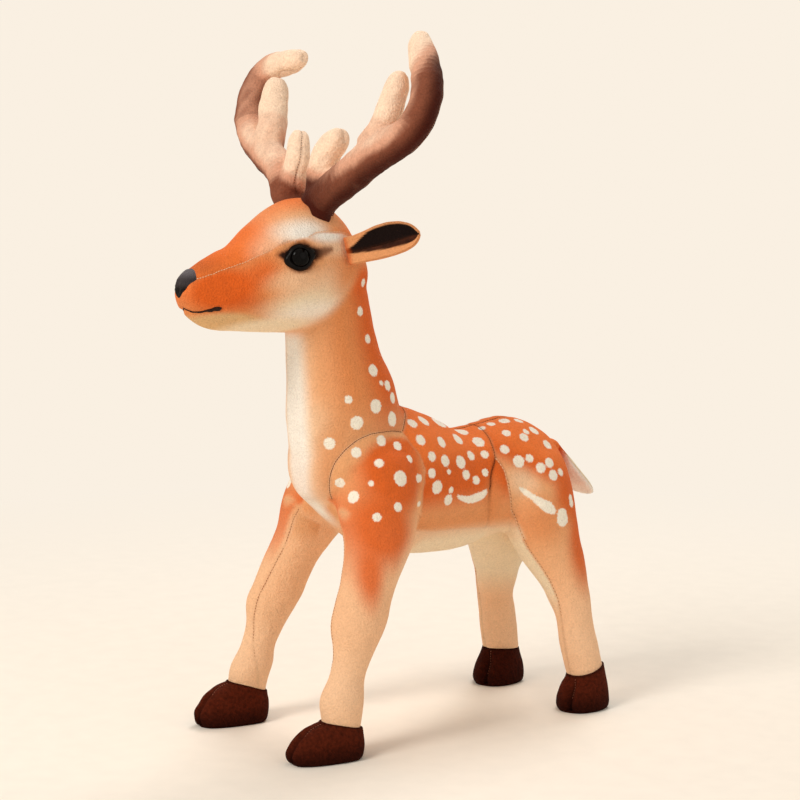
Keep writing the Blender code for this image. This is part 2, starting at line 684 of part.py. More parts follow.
def neck():
    """Side panels and a pale throat panel round the neck's stuffing, between trunk and head."""
    stripe = CHEST_STRIPE_WIDTH / 2
    throat_back = NECK[3].mean(axis=0)[1]
    front = HEAD_FRONT_Y
    top = HEAD_LOW_Z + HEAD_HEIGHT
    strip = box("throat_strip", (-stripe, front, TRUNK_LOW_Z), (stripe, throat_back, top))
    room = stripe + GAP
    low = (-room, front - GAP, TRUNK_LOW_Z - GAP)
    clear = box("throat_strip_clear", low, (room, throat_back + GAP, top + GAP))
    for label, _, region in SIDES:
        panel = cloth_shell("neck_panel_" + label, NECK_MESH, PEACH_PLUSH)
        keep(panel, region)
        cut(panel, TRUNK_CLEAR, HEAD_CLEAR, clear)
    throat = cloth_shell("throat_panel", NECK_MESH, CREAM_PLUSH)
    keep(throat, strip)
    cut(throat, TRUNK_CLEAR, HEAD_CLEAR)
    fill = add("neck_stuffing", swell(NECK_MESH, -(CLOTH + GAP)), FIBRE_FILL)
    cut(fill, TRUNK_CLEAR, HEAD_CLEAR, FRAME["rod"])


def facing(point, normal, side):
    """A frame at a point, with Z along the normal."""
    turn = normal.to_track_quat("Z", "Y").to_matrix().to_4x4()
    return Matrix.Translation(Vector((side * point.x, point.y, point.z))) @ turn


def eye_profile():
    """Dome, rim and shank of one eye, from its middle outwards and down to the shank's end."""
    profile = []
    for turn in np.linspace(0, pi / 2, DOME_STEPS + 1):
        profile.append((EYE_RADIUS * sin(turn), EYE_RIM + EYE_DOME * cos(turn)))
    profile.append((EYE_RADIUS, 0))
    profile.append((EYE_SHANK_RADIUS, 0))
    profile.append((EYE_SHANK_RADIUS, -EYE_SHANK_LENGTH))
    profile.append((0, -EYE_SHANK_LENGTH))
    return profile


def head():
    """Face panels and the nose round the head's stuffing, with locked plastic eyes."""
    nose_z = HEAD_LOW_Z + FACE_SEAM_NOSE_SHARE * HEAD_HEIGHT
    ear_z = HEAD_LOW_Z + FACE_SEAM_EAR_SHARE * HEAD_HEIGHT
    rise = (ear_z - nose_z) / (EAR_ALONG_SHARE * HEAD_LENGTH)
    above, below = both_sides("face_seam", (0, HEAD_FRONT_Y, nose_z), (0, -rise, 1))
    nose_point = (0, HEAD_FRONT_Y + NOSE_LENGTH, HEAD_LOW_Z + NOSE_TOP_SHARE * HEAD_HEIGHT)
    before, behind = both_sides("nose_seam", nose_point, (0, -cos(NOSE_SLOPE), sin(NOSE_SLOPE)))
    fill = add("head_stuffing", swell(HEAD_MESH, -(CLOTH + GAP)), FIBRE_FILL)
    cut(fill, FRAME["rod"])
    top = cloth_shell("head_top_panel", HEAD_MESH, RUSSET_PLUSH)
    keep(top, above, behind)
    nose = cloth_shell("nose_patch", HEAD_MESH, NOSE_PLUSH)
    keep(nose, before)
    for label, side, region in SIDES:
        panel = cloth_shell("head_side_panel_" + label, HEAD_MESH, PEACH_PLUSH)
        keep(panel, region, below, behind)
        cut(panel, FRAME["rod"])
        point, normal = on_rings(HEAD, EYE_ALONG_SHARE, EYE_TURN)
        normal = Vector((side * normal.x, normal.y, normal.z))
        seat = facing(point, normal, side) @ Matrix.Translation((0, 0, GAP))
        turned("eye_" + label, eye_profile(), seat, EYE_PLASTIC)
        hole = EYE_SHANK_RADIUS + GAP
        end = -EYE_SHANK_LENGTH - GAP
        bore = turned("shank_hole_" + label, ((0, OVERRUN), (hole, OVERRUN), (hole, end), (0, end)), seat)
        cut(panel, bore)
        cut(top, bore)
        face = -WASHER_SETBACK
        rear = face - WASHER_THICKNESS
        ring = ((WASHER_RADIUS, face), (WASHER_RADIUS, rear), (hole, rear), (hole, face))
        turned("eye_washer_" + label, ring, seat, WASHER_PLASTIC)
        room = WASHER_RADIUS + GAP
        floor = rear - GAP
        steps = ((0, OVERRUN), (room, OVERRUN), (room, floor), (hole, floor), (hole, end), (0, end))
        cut(fill, turned("washer_pocket_" + label, steps, seat))


def legs():
    """Four legs, each an outer and an inner cover round its stuffing, on a soled hoof."""
    for label, side, _ in SIDES:
        for end, front in (("front", True), ("rear", False)):
            name = end + "_leg_{}_" + label
            rings, axis = leg_rings(side, front)
            mesh = loft(end + "_leg_form_" + label, rings)
            top = hoof_top(side, front)
            over, under = both_sides(end + "_hoof_seam_" + label, top, (0, 0, 1))
            way = (axis[-1] - axis[0]).normalized()
            out = way.cross(Vector((0, 1, 0))).normalized()
            if out.x * side < 0:
                out = -out
            outer, inner = both_sides(end + "_leg_seam_" + label, axis[-1], out)
            channel = FRAME[end]
            for cover, region in (("outer_panel", outer), ("inner_panel", inner)):
                panel = cloth_shell(name.format(cover), mesh, PEACH_PLUSH)
                keep(panel, over, region)
                cut(panel, TRUNK_CLEAR)
            fill = add(name.format("stuffing"), swell(mesh, -(CLOTH + GAP)), FIBRE_FILL)
            keep(fill, over)
            cut(fill, TRUNK_CLEAR, channel)
            foot = loft(end + "_hoof_form_" + label, hoof_rings(side, front))
            sole_top = Vector((top.x, top.y, SOLE_THICKNESS))
            upper, lower = both_sides(end + "_sole_seam_" + label, sole_top, (0, 0, 1))
            hoof = cloth_shell(end + "_hoof_" + label, foot, HOOF_PLUSH)
            keep(hoof, under, upper)
            sole = add(end + "_sole_" + label, foot.copy(), HOOF_PLUSH)
            keep(sole, lower)
            pad = add(end + "_hoof_stuffing_" + label, swell(foot, -(CLOTH + GAP)), FIBRE_FILL)
            keep(pad, under, upper)
            cut(pad, channel)


def antlers():
    """Two stuffed antlers, each a front and a back panel sewn along its edge."""
    forward = Vector((0, -cos(ANTLER_LEAN), sin(ANTLER_LEAN)))
    foot, _ = on_rings(HEAD, ANTLER_ALONG_SHARE, pi / 2)
    front_region, back_region = both_sides("antler_seam", foot, forward)
    for label, side, _ in SIDES:
        mesh = antler_mesh(side, 0)
        hollow = tool("antler_hollow_" + label, antler_mesh(side, CLOTH))
        for cover, region in (("front_panel", front_region), ("back_panel", back_region)):
            panel = add("antler_" + cover + "_" + label, mesh.copy(), ANTLER_PLUSH)
            combine(panel, region, "INTERSECT", "MANIFOLD")
            combine(panel, hollow, "DIFFERENCE", "MANIFOLD")
            combine(panel, HEAD_CLEAR, "DIFFERENCE", "MANIFOLD")
        fill = add("antler_stuffing_" + label, antler_mesh(side, CLOTH + GAP), FIBRE_FILL)
        combine(fill, HEAD_CLEAR, "DIFFERENCE", "MANIFOLD")


def ears():
    """Two flat ears of two layers, each hinged on its rounded root seam."""
    for label, side, _ in SIDES:
        point, normal = on_rings(HEAD, EAR_ALONG_SHARE, EAR_TURN)
        root = point + normal * (EAR_THICKNESS / 2 + GAP)
        root.x *= side
        sweep = Vector((side * cos(EAR_SWEEP), sin(EAR_SWEEP), 0))
        way = (sweep * cos(EAR_RISE) + Vector((0, 0, sin(EAR_RISE)))).normalized()
        thick = Vector((side * sin(EAR_SWEEP), -cos(EAR_SWEEP), 0))
        wide = thick.cross(way).normalized()
        rings = leaf_rings(root, way, wide, thick, EAR_LENGTH, EAR_HEIGHT, EAR_THICKNESS,
                           EAR_ROOT_SHARE, EAR_SHARES)
        mesh = loft("ear_form_" + label, rings)
        open_side, back_side = both_sides("ear_seam_" + label, root, thick)
        layers = (("ear_lining_", open_side, LINING_PLUSH), ("ear_back_", back_side, PEACH_PLUSH))
        for name, region, cloth in layers:
            layer = mesh.copy()
            layer.transform(Matrix.Translation(-root))
            keep(add(name + label, layer, cloth, Matrix.Translation(root)), region)


def tail():
    """A flat tail of two layers, hinged on its rounded root seam."""
    point, normal = on_rings(TRUNK, TAIL_ALONG_SHARE, pi / 2)
    root = point + normal * (TAIL_THICKNESS / 2 + GAP)
    way = Vector((0, cos(TAIL_DROOP), -sin(TAIL_DROOP)))
    thick = Vector((0, sin(TAIL_DROOP), cos(TAIL_DROOP)))
    rings = leaf_rings(root, way, Vector((1, 0, 0)), thick, TAIL_LENGTH, TAIL_WIDTH, TAIL_THICKNESS,
                       TAIL_ROOT_SHARE, TAIL_SHARES)
    mesh = loft("tail_form", rings)
    upper, lower = both_sides("tail_seam", root, thick)
    for name, region, cloth in (("tail_top", upper, RUSSET_PLUSH), ("tail_under", lower, CREAM_PLUSH)):
        layer = mesh.copy()
        layer.transform(Matrix.Translation(-root))
        keep(add(name, layer, cloth, Matrix.Translation(root)), region)


trunk()
neck()
head()
legs()
antlers()
ears()
tail()
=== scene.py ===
import math

import bpy
import numpy as np
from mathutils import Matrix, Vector
from mathutils.bvhtree import BVHTree


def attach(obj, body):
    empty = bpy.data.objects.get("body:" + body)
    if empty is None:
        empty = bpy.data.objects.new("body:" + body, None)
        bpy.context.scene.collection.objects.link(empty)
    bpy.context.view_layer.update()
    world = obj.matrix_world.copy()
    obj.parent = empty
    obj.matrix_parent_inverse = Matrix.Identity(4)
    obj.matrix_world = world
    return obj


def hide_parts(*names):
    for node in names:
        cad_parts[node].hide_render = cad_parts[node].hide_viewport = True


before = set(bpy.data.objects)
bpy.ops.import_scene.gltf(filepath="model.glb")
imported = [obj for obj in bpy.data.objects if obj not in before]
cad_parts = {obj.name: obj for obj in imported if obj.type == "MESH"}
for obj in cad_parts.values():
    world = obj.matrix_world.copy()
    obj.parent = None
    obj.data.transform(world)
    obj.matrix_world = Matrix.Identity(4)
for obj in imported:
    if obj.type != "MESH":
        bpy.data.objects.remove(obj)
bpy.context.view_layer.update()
print("frame loaded:", len(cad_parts), "nodes")

# every shape below is in millimetres, measured from the middle of the stance
toMetres = 0.001
stanceShift = np.array([0.0, 18.5, 0.0])
bothSides = (("left", 1), ("right", -1))
farOff = 9.0  # what a distance says where nothing is near
scene = bpy.context.scene


def linear(red, green, blue):
    # screen colour 0..255 to linear light: the usual 2.4 power curve
    return ((np.array([red, green, blue]) / 255 + 0.055) / 1.055) ** 2.4


def smoothStep(low, high, value):
    # 0 below low, 1 above high, and 3t^2 - 2t^3 between
    t = np.clip((value - low) / (high - low), 0, 1)
    return t * t * (3 - 2 * t)


def unit(vector):
    # the same direction with length 1
    vector = np.asarray(vector, float)
    return vector / np.linalg.norm(vector, axis=-1, keepdims=True)


def mixed(base, colour, amount):
    # base where the amount is 0, colour where it is 1
    return base * (1 - amount[..., None]) + colour * amount[..., None]


def lineAt(rows, value, column=1):
    # straight from one row (place, numbers) to the next
    rows = np.asarray(rows, float)
    return np.interp(value, rows[:, 0], rows[:, column])


def eased(values, rounds):
    # each inner value becomes (before + 2 * itself + after) / 4
    for _ in range(rounds):
        values[1:-1] = (values[:-2] + 2 * values[1:-1] + values[2:]) / 4
    return values


def gapTo(value, middle, width, power=2):
    # a soft hill of height 1: e to the minus ((value - middle) / width)^power
    return np.exp(-((value - middle) / width) ** power)


def curveThrough(rows, count):
    # Catmull-Rom: a cubic through every row, with slopes from the rows on each side
    rows = np.asarray(rows, float)
    t = np.linspace(0, len(rows) - 1, count)
    i = np.minimum(t.astype(int), len(rows) - 2)
    f = (t - i)[:, None]
    a, b = rows[np.maximum(i - 1, 0)], rows[i]
    c, d = rows[i + 1], rows[np.minimum(i + 2, len(rows) - 1)]
    square, cube = 2 * a - 5 * b + 4 * c - d, 3 * b - a - 3 * c + d
    return 0.5 * (2 * b + (c - a) * f + square * f ** 2 + cube * f ** 3)


def runAlong(path):
    # the length of a path up to each of its points
    return np.concatenate([[0], np.cumsum(np.linalg.norm(np.diff(path, axis=0), axis=1))])


def placesAt(rows, run, wanted):
    # rows of three numbers read off at the wanted lengths
    return np.stack([np.interp(wanted, run, rows[:, axis]) for axis in range(3)], 1)


def ringsAlong(centres, across, away, halfAcross, halfAway, around=48, power=1.0):
    # ring i is centre + across * a * cos(u)^power + away * b * sin(u)^power
    u = np.linspace(0, 2 * math.pi, around, endpoint=False)
    cosine = np.sign(np.cos(u)) * np.abs(np.cos(u)) ** power
    sine = np.sign(np.sin(u)) * np.abs(np.sin(u)) ** power
    return (centres[:, None] + across[:, None] * (halfAcross[:, None] * cosine)[..., None]
            + away[:, None] * (halfAway[:, None] * sine)[..., None])


def gridFaces(rows, across, closed=False):
    # the quads of a grid of points; a closed grid's last column joins its first
    i, j = np.meshgrid(np.arange(rows - 1), np.arange(across if closed else across - 1), indexing="ij")
    k = (j + 1) % across
    here, onward = i * across, (i + 1) * across
    return np.stack([here + j, here + k, onward + k, onward + j], -1).reshape(-1, 4)


def shellOf(grid):
    # closes a stack of rings with a pole at each end, and turns the faces outwards by the enclosed volume
    rings, around = grid.shape[:2]
    points = np.concatenate([grid.reshape(-1, 3), grid[:1].mean(1), grid[-1:].mean(1)])
    quads = gridFaces(rings, around, True)
    j = np.arange(around)
    k = (j + 1) % around
    last = (rings - 1) * around
    low = np.stack([0 * j + rings * around, k, j], -1)
    high = np.stack([0 * j + rings * around + 1, last + j, last + k], -1)
    triangles = np.concatenate([quads[:, :3], quads[:, [0, 2, 3]], low, high])
    a, b, c = (points[triangles[:, n]] for n in range(3))
    if np.einsum("ij,ij->i", a, np.cross(b, c)).sum() < 0:
        quads, low, high = quads[:, ::-1], low[:, ::-1], high[:, ::-1]
    return points, quads.tolist() + low.tolist() + high.tolist()


def mirrored(shell):
    # the other side's copy, with its faces turned back outwards
    return shell[0] * [-1.0, 1, 1], [face[::-1] for face in shell[1]]


def fused(shells):
    # several shells in one list of points and faces
    points, faces, start = [], [], 0
    for shell in shells:
        points.append(shell[0])
        faces += [[corner + start for corner in face] for face in shell[1]]
        start += len(shell[0])
    return np.concatenate(points), faces


def newPiece(name, points, faces):
    # a smooth-shaded mesh at the origin, with its place in its points
    mesh = bpy.data.meshes.new(name)
    mesh.from_pydata(((points + stanceShift) * toMetres).tolist(), [], [tuple(face) for face in faces])
    mesh.update()
    mesh.polygons.foreach_set("use_smooth", np.ones(len(mesh.polygons), bool))
    piece = bpy.data.objects.new(name, mesh)
    scene.collection.objects.link(piece)
    return piece


def reskinned(piece, voxel, rounds=0):
    # one skin round all that the mesh holds: voxel remesh, then rounds of smoothing by half
    remesh = piece.modifiers.new("skin", "REMESH")
    remesh.mode, remesh.voxel_size = "VOXEL", voxel * toMetres
    if rounds:
        soften = piece.modifiers.new("soften", "SMOOTH")
        soften.factor, soften.iterations = 0.5, rounds
    mesh = bpy.data.meshes.new_from_object(piece.evaluated_get(bpy.context.evaluated_depsgraph_get()))
    piece.modifiers.clear()
    piece.data = mesh
    return piece


def readMesh(piece):
    # points in stance millimetres, normals, and the corners of the quads
    mesh = piece.data
    points, normals = np.zeros(len(mesh.vertices) * 3), np.zeros(len(mesh.vertices) * 3)
    corners = np.zeros(len(mesh.polygons) * 4, int)
    mesh.vertices.foreach_get("co", points)
    mesh.vertex_normals.foreach_get("vector", normals)
    mesh.polygons.foreach_get("vertices", corners)
    return points.reshape(-1, 3) / toMetres - stanceShift, normals.reshape(-1, 3), corners.reshape(-1, 4)


def reshaped(piece, points):
    # the same mesh with its points moved; gives what readMesh gives, and a tree that finds its nearest place
    piece.data.vertices.foreach_set("co", ((points + stanceShift) * toMetres).astype(np.float32).ravel())
    piece.data.update()
    return *readMesh(piece), treeOf(piece)


def treeOf(piece):
    # a search tree of the surface, for its nearest places
    return BVHTree.FromObject(piece, bpy.context.evaluated_depsgraph_get())


def nearestOn(tree, places):
    # the nearest place and the normal there, in metres, as six numbers for each place
    found = [tree.find_nearest(Vector((place + stanceShift) * toMetres)) for place in places]
    return np.array([[*hit[0], *hit[1]] for hit in found])


def onSkin(path, tree, step=1.6):
    # a path cut into short steps, each put on the nearest place of the skin, then eased along itself
    path = np.asarray(path, float)
    run = runAlong(path)
    even = np.linspace(0, run[-1], max(int(run[-1] / step), 3))
    laid = eased(nearestOn(tree, eased(placesAt(path, run, even), 3)), 2)
    return laid[:, :3] / toMetres - stanceShift, laid[:, 3:]


def givePaint(piece, tint, **numbers):
    # the painted colour of each point, and the numbers that its material reads by name
    rgba = np.concatenate([tint, np.ones((len(tint), 1))], 1)
    layer = piece.data.attributes.new("tint", "FLOAT_COLOR", "POINT")
    layer.data.foreach_set("color", rgba.astype(np.float32).ravel())
    for name, values in numbers.items():
        layer = piece.data.attributes.new(name, "FLOAT", "POINT")
        layer.data.foreach_set("value", np.broadcast_to(values, len(tint)).astype(np.float32))


def fasten(piece, material, body="deer"):
    # what every visible piece gets
    piece.data.materials.append(material)
    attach(piece, body)


def settle(piece, material, nodes, body="deer"):
    # a padded piece that stands for the named solids
    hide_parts(*nodes)
    fasten(piece, material, body)


def lumps(points, size, seed):
    # soft unevenness: nine sine waves in fixed scattered directions, added up and divided by five
    source = np.random.default_rng(seed)
    ways = unit(source.normal(size=(9, 3))) * source.uniform(0.6, 1.5, (9, 1)) * 2 * math.pi / size
    return np.sin(points @ ways.T + source.uniform(0, 6.28, 9)).sum(1) / 5


def pathDistance(points, path, reach=farOff):
    # least distance to the segments of a path, eight at a time, for the points near them; reach elsewhere
    found = np.full(len(points), float(reach))
    for start in range(0, len(path) - 1, 8):
        part = path[start:start + 9]
        near = np.flatnonzero(((points > part.min(0) - reach) & (points < part.max(0) + reach)).all(1))
        if not len(near):
            continue
        way = part[1:] - part[:-1]
        offset = points[near][:, None] - part[:-1]
        t = np.clip((offset * way).sum(-1) / np.maximum((way * way).sum(-1), 1e-9), 0, 1)
        gap = np.linalg.norm(offset - way * t[..., None], axis=-1).min(1)
        found[near] = np.minimum(found[near], gap)
    return found


def polygonField(flat, polygon):
    # signed distance to a closed outline in side view, positive inside
    polygon = np.asarray(polygon, float)
    nearest = np.full(len(flat), 1e9)
    inside = np.zeros(len(flat), bool)
    for start, end in zip(polygon, np.roll(polygon, -1, 0)):
        way = end - start
        t = np.clip(((flat - start) @ way) / (way @ way), 0, 1)
        nearest = np.minimum(nearest, np.linalg.norm(flat - start - t[:, None] * way, axis=1))
        crosses = (start[1] > flat[:, 1]) != (end[1] > flat[:, 1])
        rise = way[1] if abs(way[1]) > 1e-9 else 1e-9
        inside ^= crosses & (flat[:, 0] < start[0] + (flat[:, 1] - start[1]) * way[0] / rise)
    return np.where(inside, nearest, -nearest)


# materials

def feed(tree, socket, value):
    # links the socket to another node's output, or sets its own value
    if isinstance(value, bpy.types.NodeSocket):
        tree.links.new(value, socket)
    else:
        socket.default_value = (*value, 1) if socket.type == "RGBA" else value


def addNode(tree, kind, output, inputs=None, **settings):
    # one shader node with its settings and inputs; gives the named output
    node = tree.nodes.new("ShaderNode" + kind)
    for name, value in settings.items():
        setattr(node, name, value)
    for place, value in (inputs or {}).items():
        feed(tree, node.inputs[place], value)
    return node.outputs[output]


def addMath(tree, kind, first, second):
    # kind of the two values, such as MULTIPLY
    return addNode(tree, "Math", "Value", {0: first, 1: second}, operation=kind)


def addRange(tree, value, fromLow, fromHigh, toLow, toHigh):
    # the value stretched from one range to another, and held at its ends
    ends = {"From Min": fromLow, "From Max": fromHigh, "To Min": toLow, "To Max": toHigh}
    return addNode(tree, "MapRange", "Result", {**ends, "Value": value})


def addMix(tree, factor, first, second):
    # first where the factor is 0, second where it is 1
    return addNode(tree, "Mix", "Result", {"Factor": factor, "A": first, "B": second}, data_type="RGBA")


def addNoise(tree, scale, detail):
    # noise that is fixed to the object's own coordinates
    place = addNode(tree, "TexCoord", "Object")
    return addNode(tree, "TexNoise", "Fac", {"Scale": scale, "Detail": detail, "Vector": place})


def addBump(tree, shader, height, strength, distance):
    # the height as small relief in the shading
    bump = addNode(tree, "Bump", "Normal", {"Strength": strength, "Distance": distance, "Height": height})
    feed(tree, shader.inputs["Normal"], bump)


def newMaterial(name, inputs):
    # a Principled material with the given inputs set
    material = bpy.data.materials.new(name)
    material.use_nodes = True
    tree = material.node_tree
    shader = tree.nodes["Principled BSDF"]
    for socket, value in inputs.items():
        feed(tree, shader.inputs[socket], value)
    return material, tree, shader


def plushMaterial(name, look):
    # painted tint times nap noise, printed spots laid over it, painted shade in the seams, fine fur bump
    material, tree, shader = newMaterial(name, {
        "Roughness": 0.92, "Specular IOR Level": look["specular"],
        "Sheen Weight": look["sheen"], "Sheen Roughness": 0.55, "Sheen Tint": look["sheenTint"]})
    colour = addNode(tree, "Attribute", "Color", attribute_name="tint")
    fine = addNoise(tree, look["napScale"], 3.0)
    broad = addNoise(tree, look["napScale"] * 0.22, 2.0)
    if look["spots"]:
        spot = addNode(tree, "Attribute", "Fac", attribute_name="spot")
        ragged = addMath(tree, "ADD", spot, addRange(tree, fine, 0.3, 0.7, -0.45, 0.45))
        colour = addMix(tree, addRange(tree, ragged, -0.45, 0.35, 0.96, 0.0), colour, look["spotColour"])
    # the seam attribute holds the painted shade along the seams
    seam = addNode(tree, "Attribute", "Fac", attribute_name="seam")
    shade = addRange(tree, seam, 0.0, 1.0, look["seamShade"], 1.0)
    grain = addRange(tree, fine, 0.25, 0.75, 1 - look["napContrast"], 1 + look["napContrast"])
    cloud = addRange(tree, broad, 0.3, 0.7, 1 - look["cloudContrast"], 1 + look["cloudContrast"])
    strength = addMath(tree, "MULTIPLY", addMath(tree, "MULTIPLY", grain, cloud), shade)
    shown = addNode(tree, "VectorMath", "Vector", {0: colour, "Scale": strength}, operation="SCALE")
    feed(tree, shader.inputs["Base Color"], shown)
    addBump(tree, shader, addMath(tree, "ADD", fine, addMath(tree, "MULTIPLY", broad, 0.8)),
    look["bump"], 0.0012)
    return material


def mottledMaterial(name, light, dark, scale, bump, hard, inputs):
    # two tones mixed by fine noise, with a bump of the same noise, flatter on a hard piece
    detail, low, distance = (2.0, 0.35, 0.0004) if hard else (3.0, 0.3, 0.001)
    material, tree, shader = newMaterial(name, inputs)
    fine = addNoise(tree, scale, detail)
    tone = addMix(tree, addRange(tree, fine, low, 1 - low, 0.0, 1.0), dark, light)
    feed(tree, shader.inputs["Base Color"], tone)
    addBump(tree, shader, fine, bump, distance)
    return material


palette = {name: linear(*tone) for name, tone in {
    "rust": (226, 104, 40), "deepRust": (206, 84, 24), "orange": (244, 124, 56), "tan": (228, 142, 84),
    "peach": (240, 172, 118), "legPeach": (249, 194, 148), "neckPeach": (230, 168, 118),
    "pale": (250, 212, 174),
    "cream": (246, 224, 190), "white": (254, 244, 230), "sand": (228, 184, 130), "brown": (150, 78, 40),
    "liner": (40, 16, 8), "muzzle": (232, 102, 34), "nose": (60, 54, 56), "noseShade": (20, 15, 15),
    "noseHighlight": (108, 102, 106), "hoof": (78, 28, 13), "hoofDark": (44, 13, 5), "antlerDark": (68, 20, 8),
    "antlerBrown": (134, 76, 54), "antlerPink": (222, 164, 134), "antlerCream": (255, 222, 192),
    "liningDark": (18, 3, 1), "liningBrown": (82, 40, 22),
}.items()}
bodyLook = {
    "spots": True, "spotColour": linear(255, 247, 228), "sheen": 0.06, "sheenTint": (1.0, 0.86, 0.7),
    "napScale": 900, "napContrast": 0.1, "cloudContrast": 0.02, "seamShade": 0.42, "bump": 0.8,
    "specular": 0.12,
}
antlerLook = {**bodyLook, "spots": False, "napScale": 760, "napContrast": 0.15, "cloudContrast": 0.06,
              "seamShade": 0.75, "bump": 0.7}
hoofLook = {**bodyLook, "spots": False, "napScale": 500, "napContrast": 0.42, "sheen": 0.0, "specular": 0.05,
            "seamShade": 0.35}
plush = plushMaterial("printed_plush", bodyLook)
antlerPlush = plushMaterial("antler_plush", antlerLook)
hoofPlush = plushMaterial("hoof_plush", hoofLook)

yarn = {"Roughness": 0.9, "Specular IOR Level": 0.15, "Sheen Tint": (1.0, 0.9, 0.8), "Sheen Roughness": 0.55}
finishes = {
    # light tone, dark tone, noise scale, bump, whether it is hard, shader inputs
    "fibre_fill": (linear(244, 242, 238), linear(214, 211, 206),
    500, 0.8, False, {**yarn, "Sheen Weight": 0.3}),
    "pale_thread": (linear(250, 206, 164), linear(226, 170, 126), 2500, 0.2, False, yarn),
    "brown_thread": (linear(120, 58, 28), linear(84, 36, 14), 2500, 0.2, False, yarn),
    "rust_thread": (linear(190, 116, 72), linear(150, 84, 48), 2500, 0.2, False, yarn),
    "hoof_thread": (linear(176, 112, 88), linear(130, 72, 52), 2500, 0.2, False, yarn),
    "antler_thread": (linear(226, 178, 150), linear(180, 124, 98), 2500, 0.2, False, yarn),
    "dark_thread": (linear(60, 34, 22), linear(30, 14, 8), 2500, 0.3, False, {**yarn, "Sheen Weight": 0.1}),
    "eye_plastic": ((0.004, 0.003, 0.003), (0.008, 0.006, 0.005), 300, 0.02, True,
                    {"Roughness": 0.24, "Specular IOR Level": 0.06}),
    "eye_lens": ((0.004, 0.003, 0.0025), (0.0015, 0.001, 0.001), 500, 0.0, True,
                 {"Roughness": 0.05, "Specular IOR Level": 0.07}),
    "frame_wire": ((0.42, 0.42, 0.43), (0.30, 0.30, 0.31),
    400, 0.05, True, {"Roughness": 0.35, "Metallic": 1.0}),
    "clip_plastic": ((0.06, 0.06, 0.065), (0.04, 0.04, 0.045), 500, 0.05, True, {"Roughness": 0.5}),
    "washer_plastic": ((0.75, 0.74, 0.70), (0.66, 0.65, 0.61), 500, 0.05, True, {"Roughness": 0.45}),
}
finish = {name: mottledMaterial(name, *look) for name, look in finishes.items()}
print("materials ready")


# the stuffed form

form = {
    "voxel": 1.15, "rounds": 22, "quickVoxel": 2.0,
    # forward place, top, bottom, half width
    "trunk": [(-93, 167, 165, 4), (-90, 185, 150, 16), (-80, 195, 141, 28), (-64, 200, 126, 36),
              (-45, 201, 112, 39), (-20, 200, 106.5, 38), (6, 190, 104.5, 34), (23, 182, 105, 33),
              (45, 184, 110, 35), (66, 186.5, 113, 37), (86, 179, 117, 34), (97, 167, 124, 26),
              (106, 154, 132, 16), (110.5, 147, 139, 4)],
    # centre forward and up, half depth, half width
    "neck": [(-52, 160, 36, 31), (-58, 185, 37, 32), (-62, 208, 35, 31), (-66, 225, 31, 27.5),
             (-69, 242, 28.5, 25), (-71, 256, 27.5, 24.5), (-74, 270, 27, 24), (-80, 285, 22, 20)],
    # forward place, top, bottom, half width
    "head": [(-174.6, 281, 271.5, 4.6), (-172.4, 284.2, 266, 8), (-169, 286.9, 261.6, 10.2),
             (-160, 292.6, 255.2, 12.5), (-150, 297.6, 252.2, 14.5), (-139, 302.2, 251.2, 17.4),
             (-126, 313.2, 250.2, 21.9), (-112, 322.7, 249, 26.5), (-98, 328.2, 248.2, 28.5),
             (-84, 327.4, 249, 28.2), (-70, 319.5, 254, 25.9), (-58, 305.3, 261, 20.5),
             (-50, 294, 269.8, 13.1), (-45, 286.3, 276.9, 4.6)],
    # up, sideways, forward, half depth
    "frontLeg": [(10, 53.6, -98.4, 9.5), (15, 53.4, -98, 11.4), (24, 53, -97.4, 12.8),
                 (35, 51.2, -95.6, 13.9), (46, 49.9, -91.8, 11.6), (56, 49.2, -87.6, 12.2),
                 (64, 48.5, -84.8, 13.9), (71, 47.9, -82.8, 16.2), (79, 46.7, -80.2, 17.9),
                 (88, 45.3, -76.6, 17.7), (100, 43.4, -71.2, 18.3), (112, 40.5, -64.6, 20.1),
                 (125, 36.3, -58.6, 22.8), (140, 31, -56, 25.4), (158, 25, -52, 24.9), (172, 21, -50, 23),
                 (182, 16, -50, 14)],
    "rearLeg": [(10, 44.6, 98.6, 9.5), (15, 44.3, 98.4, 11.2), (23, 44, 97.4, 12.7), (40, 42.4, 94.1, 13.2),
                (52, 41.6, 92, 12.7), (60, 41.2, 90.4, 12.6), (70, 38.5, 89, 14.4), (80, 35.4, 87.1, 16.3),
                (95, 28.8, 83.4, 21.2), (110, 25, 78.5, 24.3), (125, 22.5, 74.7, 26.4),
                (140, 20.5, 72.7, 26.8), (155, 19, 71.5, 24.2), (165, 17.5, 70.5, 20.5), (175, 11, 70, 12)],
    # forward, up, half width, half height of the small dock that the tail is sewn to
    "dock": [(86, 158, 12, 10.5), (93, 161, 11, 8.6), (99, 163.4, 9.6, 6.4), (103.5, 164.6, 8.8, 4.8),
             (106, 164.9, 8, 3.6)],
    "legWidthShare": 0.86, "headPower": 0.93,
}


def lengthwise(rows, steps, power=1.0):
    # rings that stand across the forward axis, from top, bottom and half width
    rows = curveThrough(rows, steps)
    middle = (rows[:, 1] + rows[:, 2]) / 2
    centres = np.stack([0 * middle, rows[:, 0], middle], 1)
    ones = np.ones((len(rows), 1))
    return ringsAlong(centres, ones * [1, 0, 0], ones * [0, 0, 1], np.maximum(rows[:, 3], 1),
                      np.maximum((rows[:, 1] - rows[:, 2]) / 2, 1), 56, power)


def neckRings(rows, steps):
    # rings square to the neck's own centre line
    rows = curveThrough(rows, steps)
    centres = np.stack([0 * rows[:, 0], rows[:, 0], rows[:, 1]], 1)
    across = np.ones((len(rows), 1)) * [1, 0, 0]
    away = np.cross(unit(np.gradient(centres, axis=0)), across)
    return ringsAlong(centres, across, away, rows[:, 3], rows[:, 2], 56)


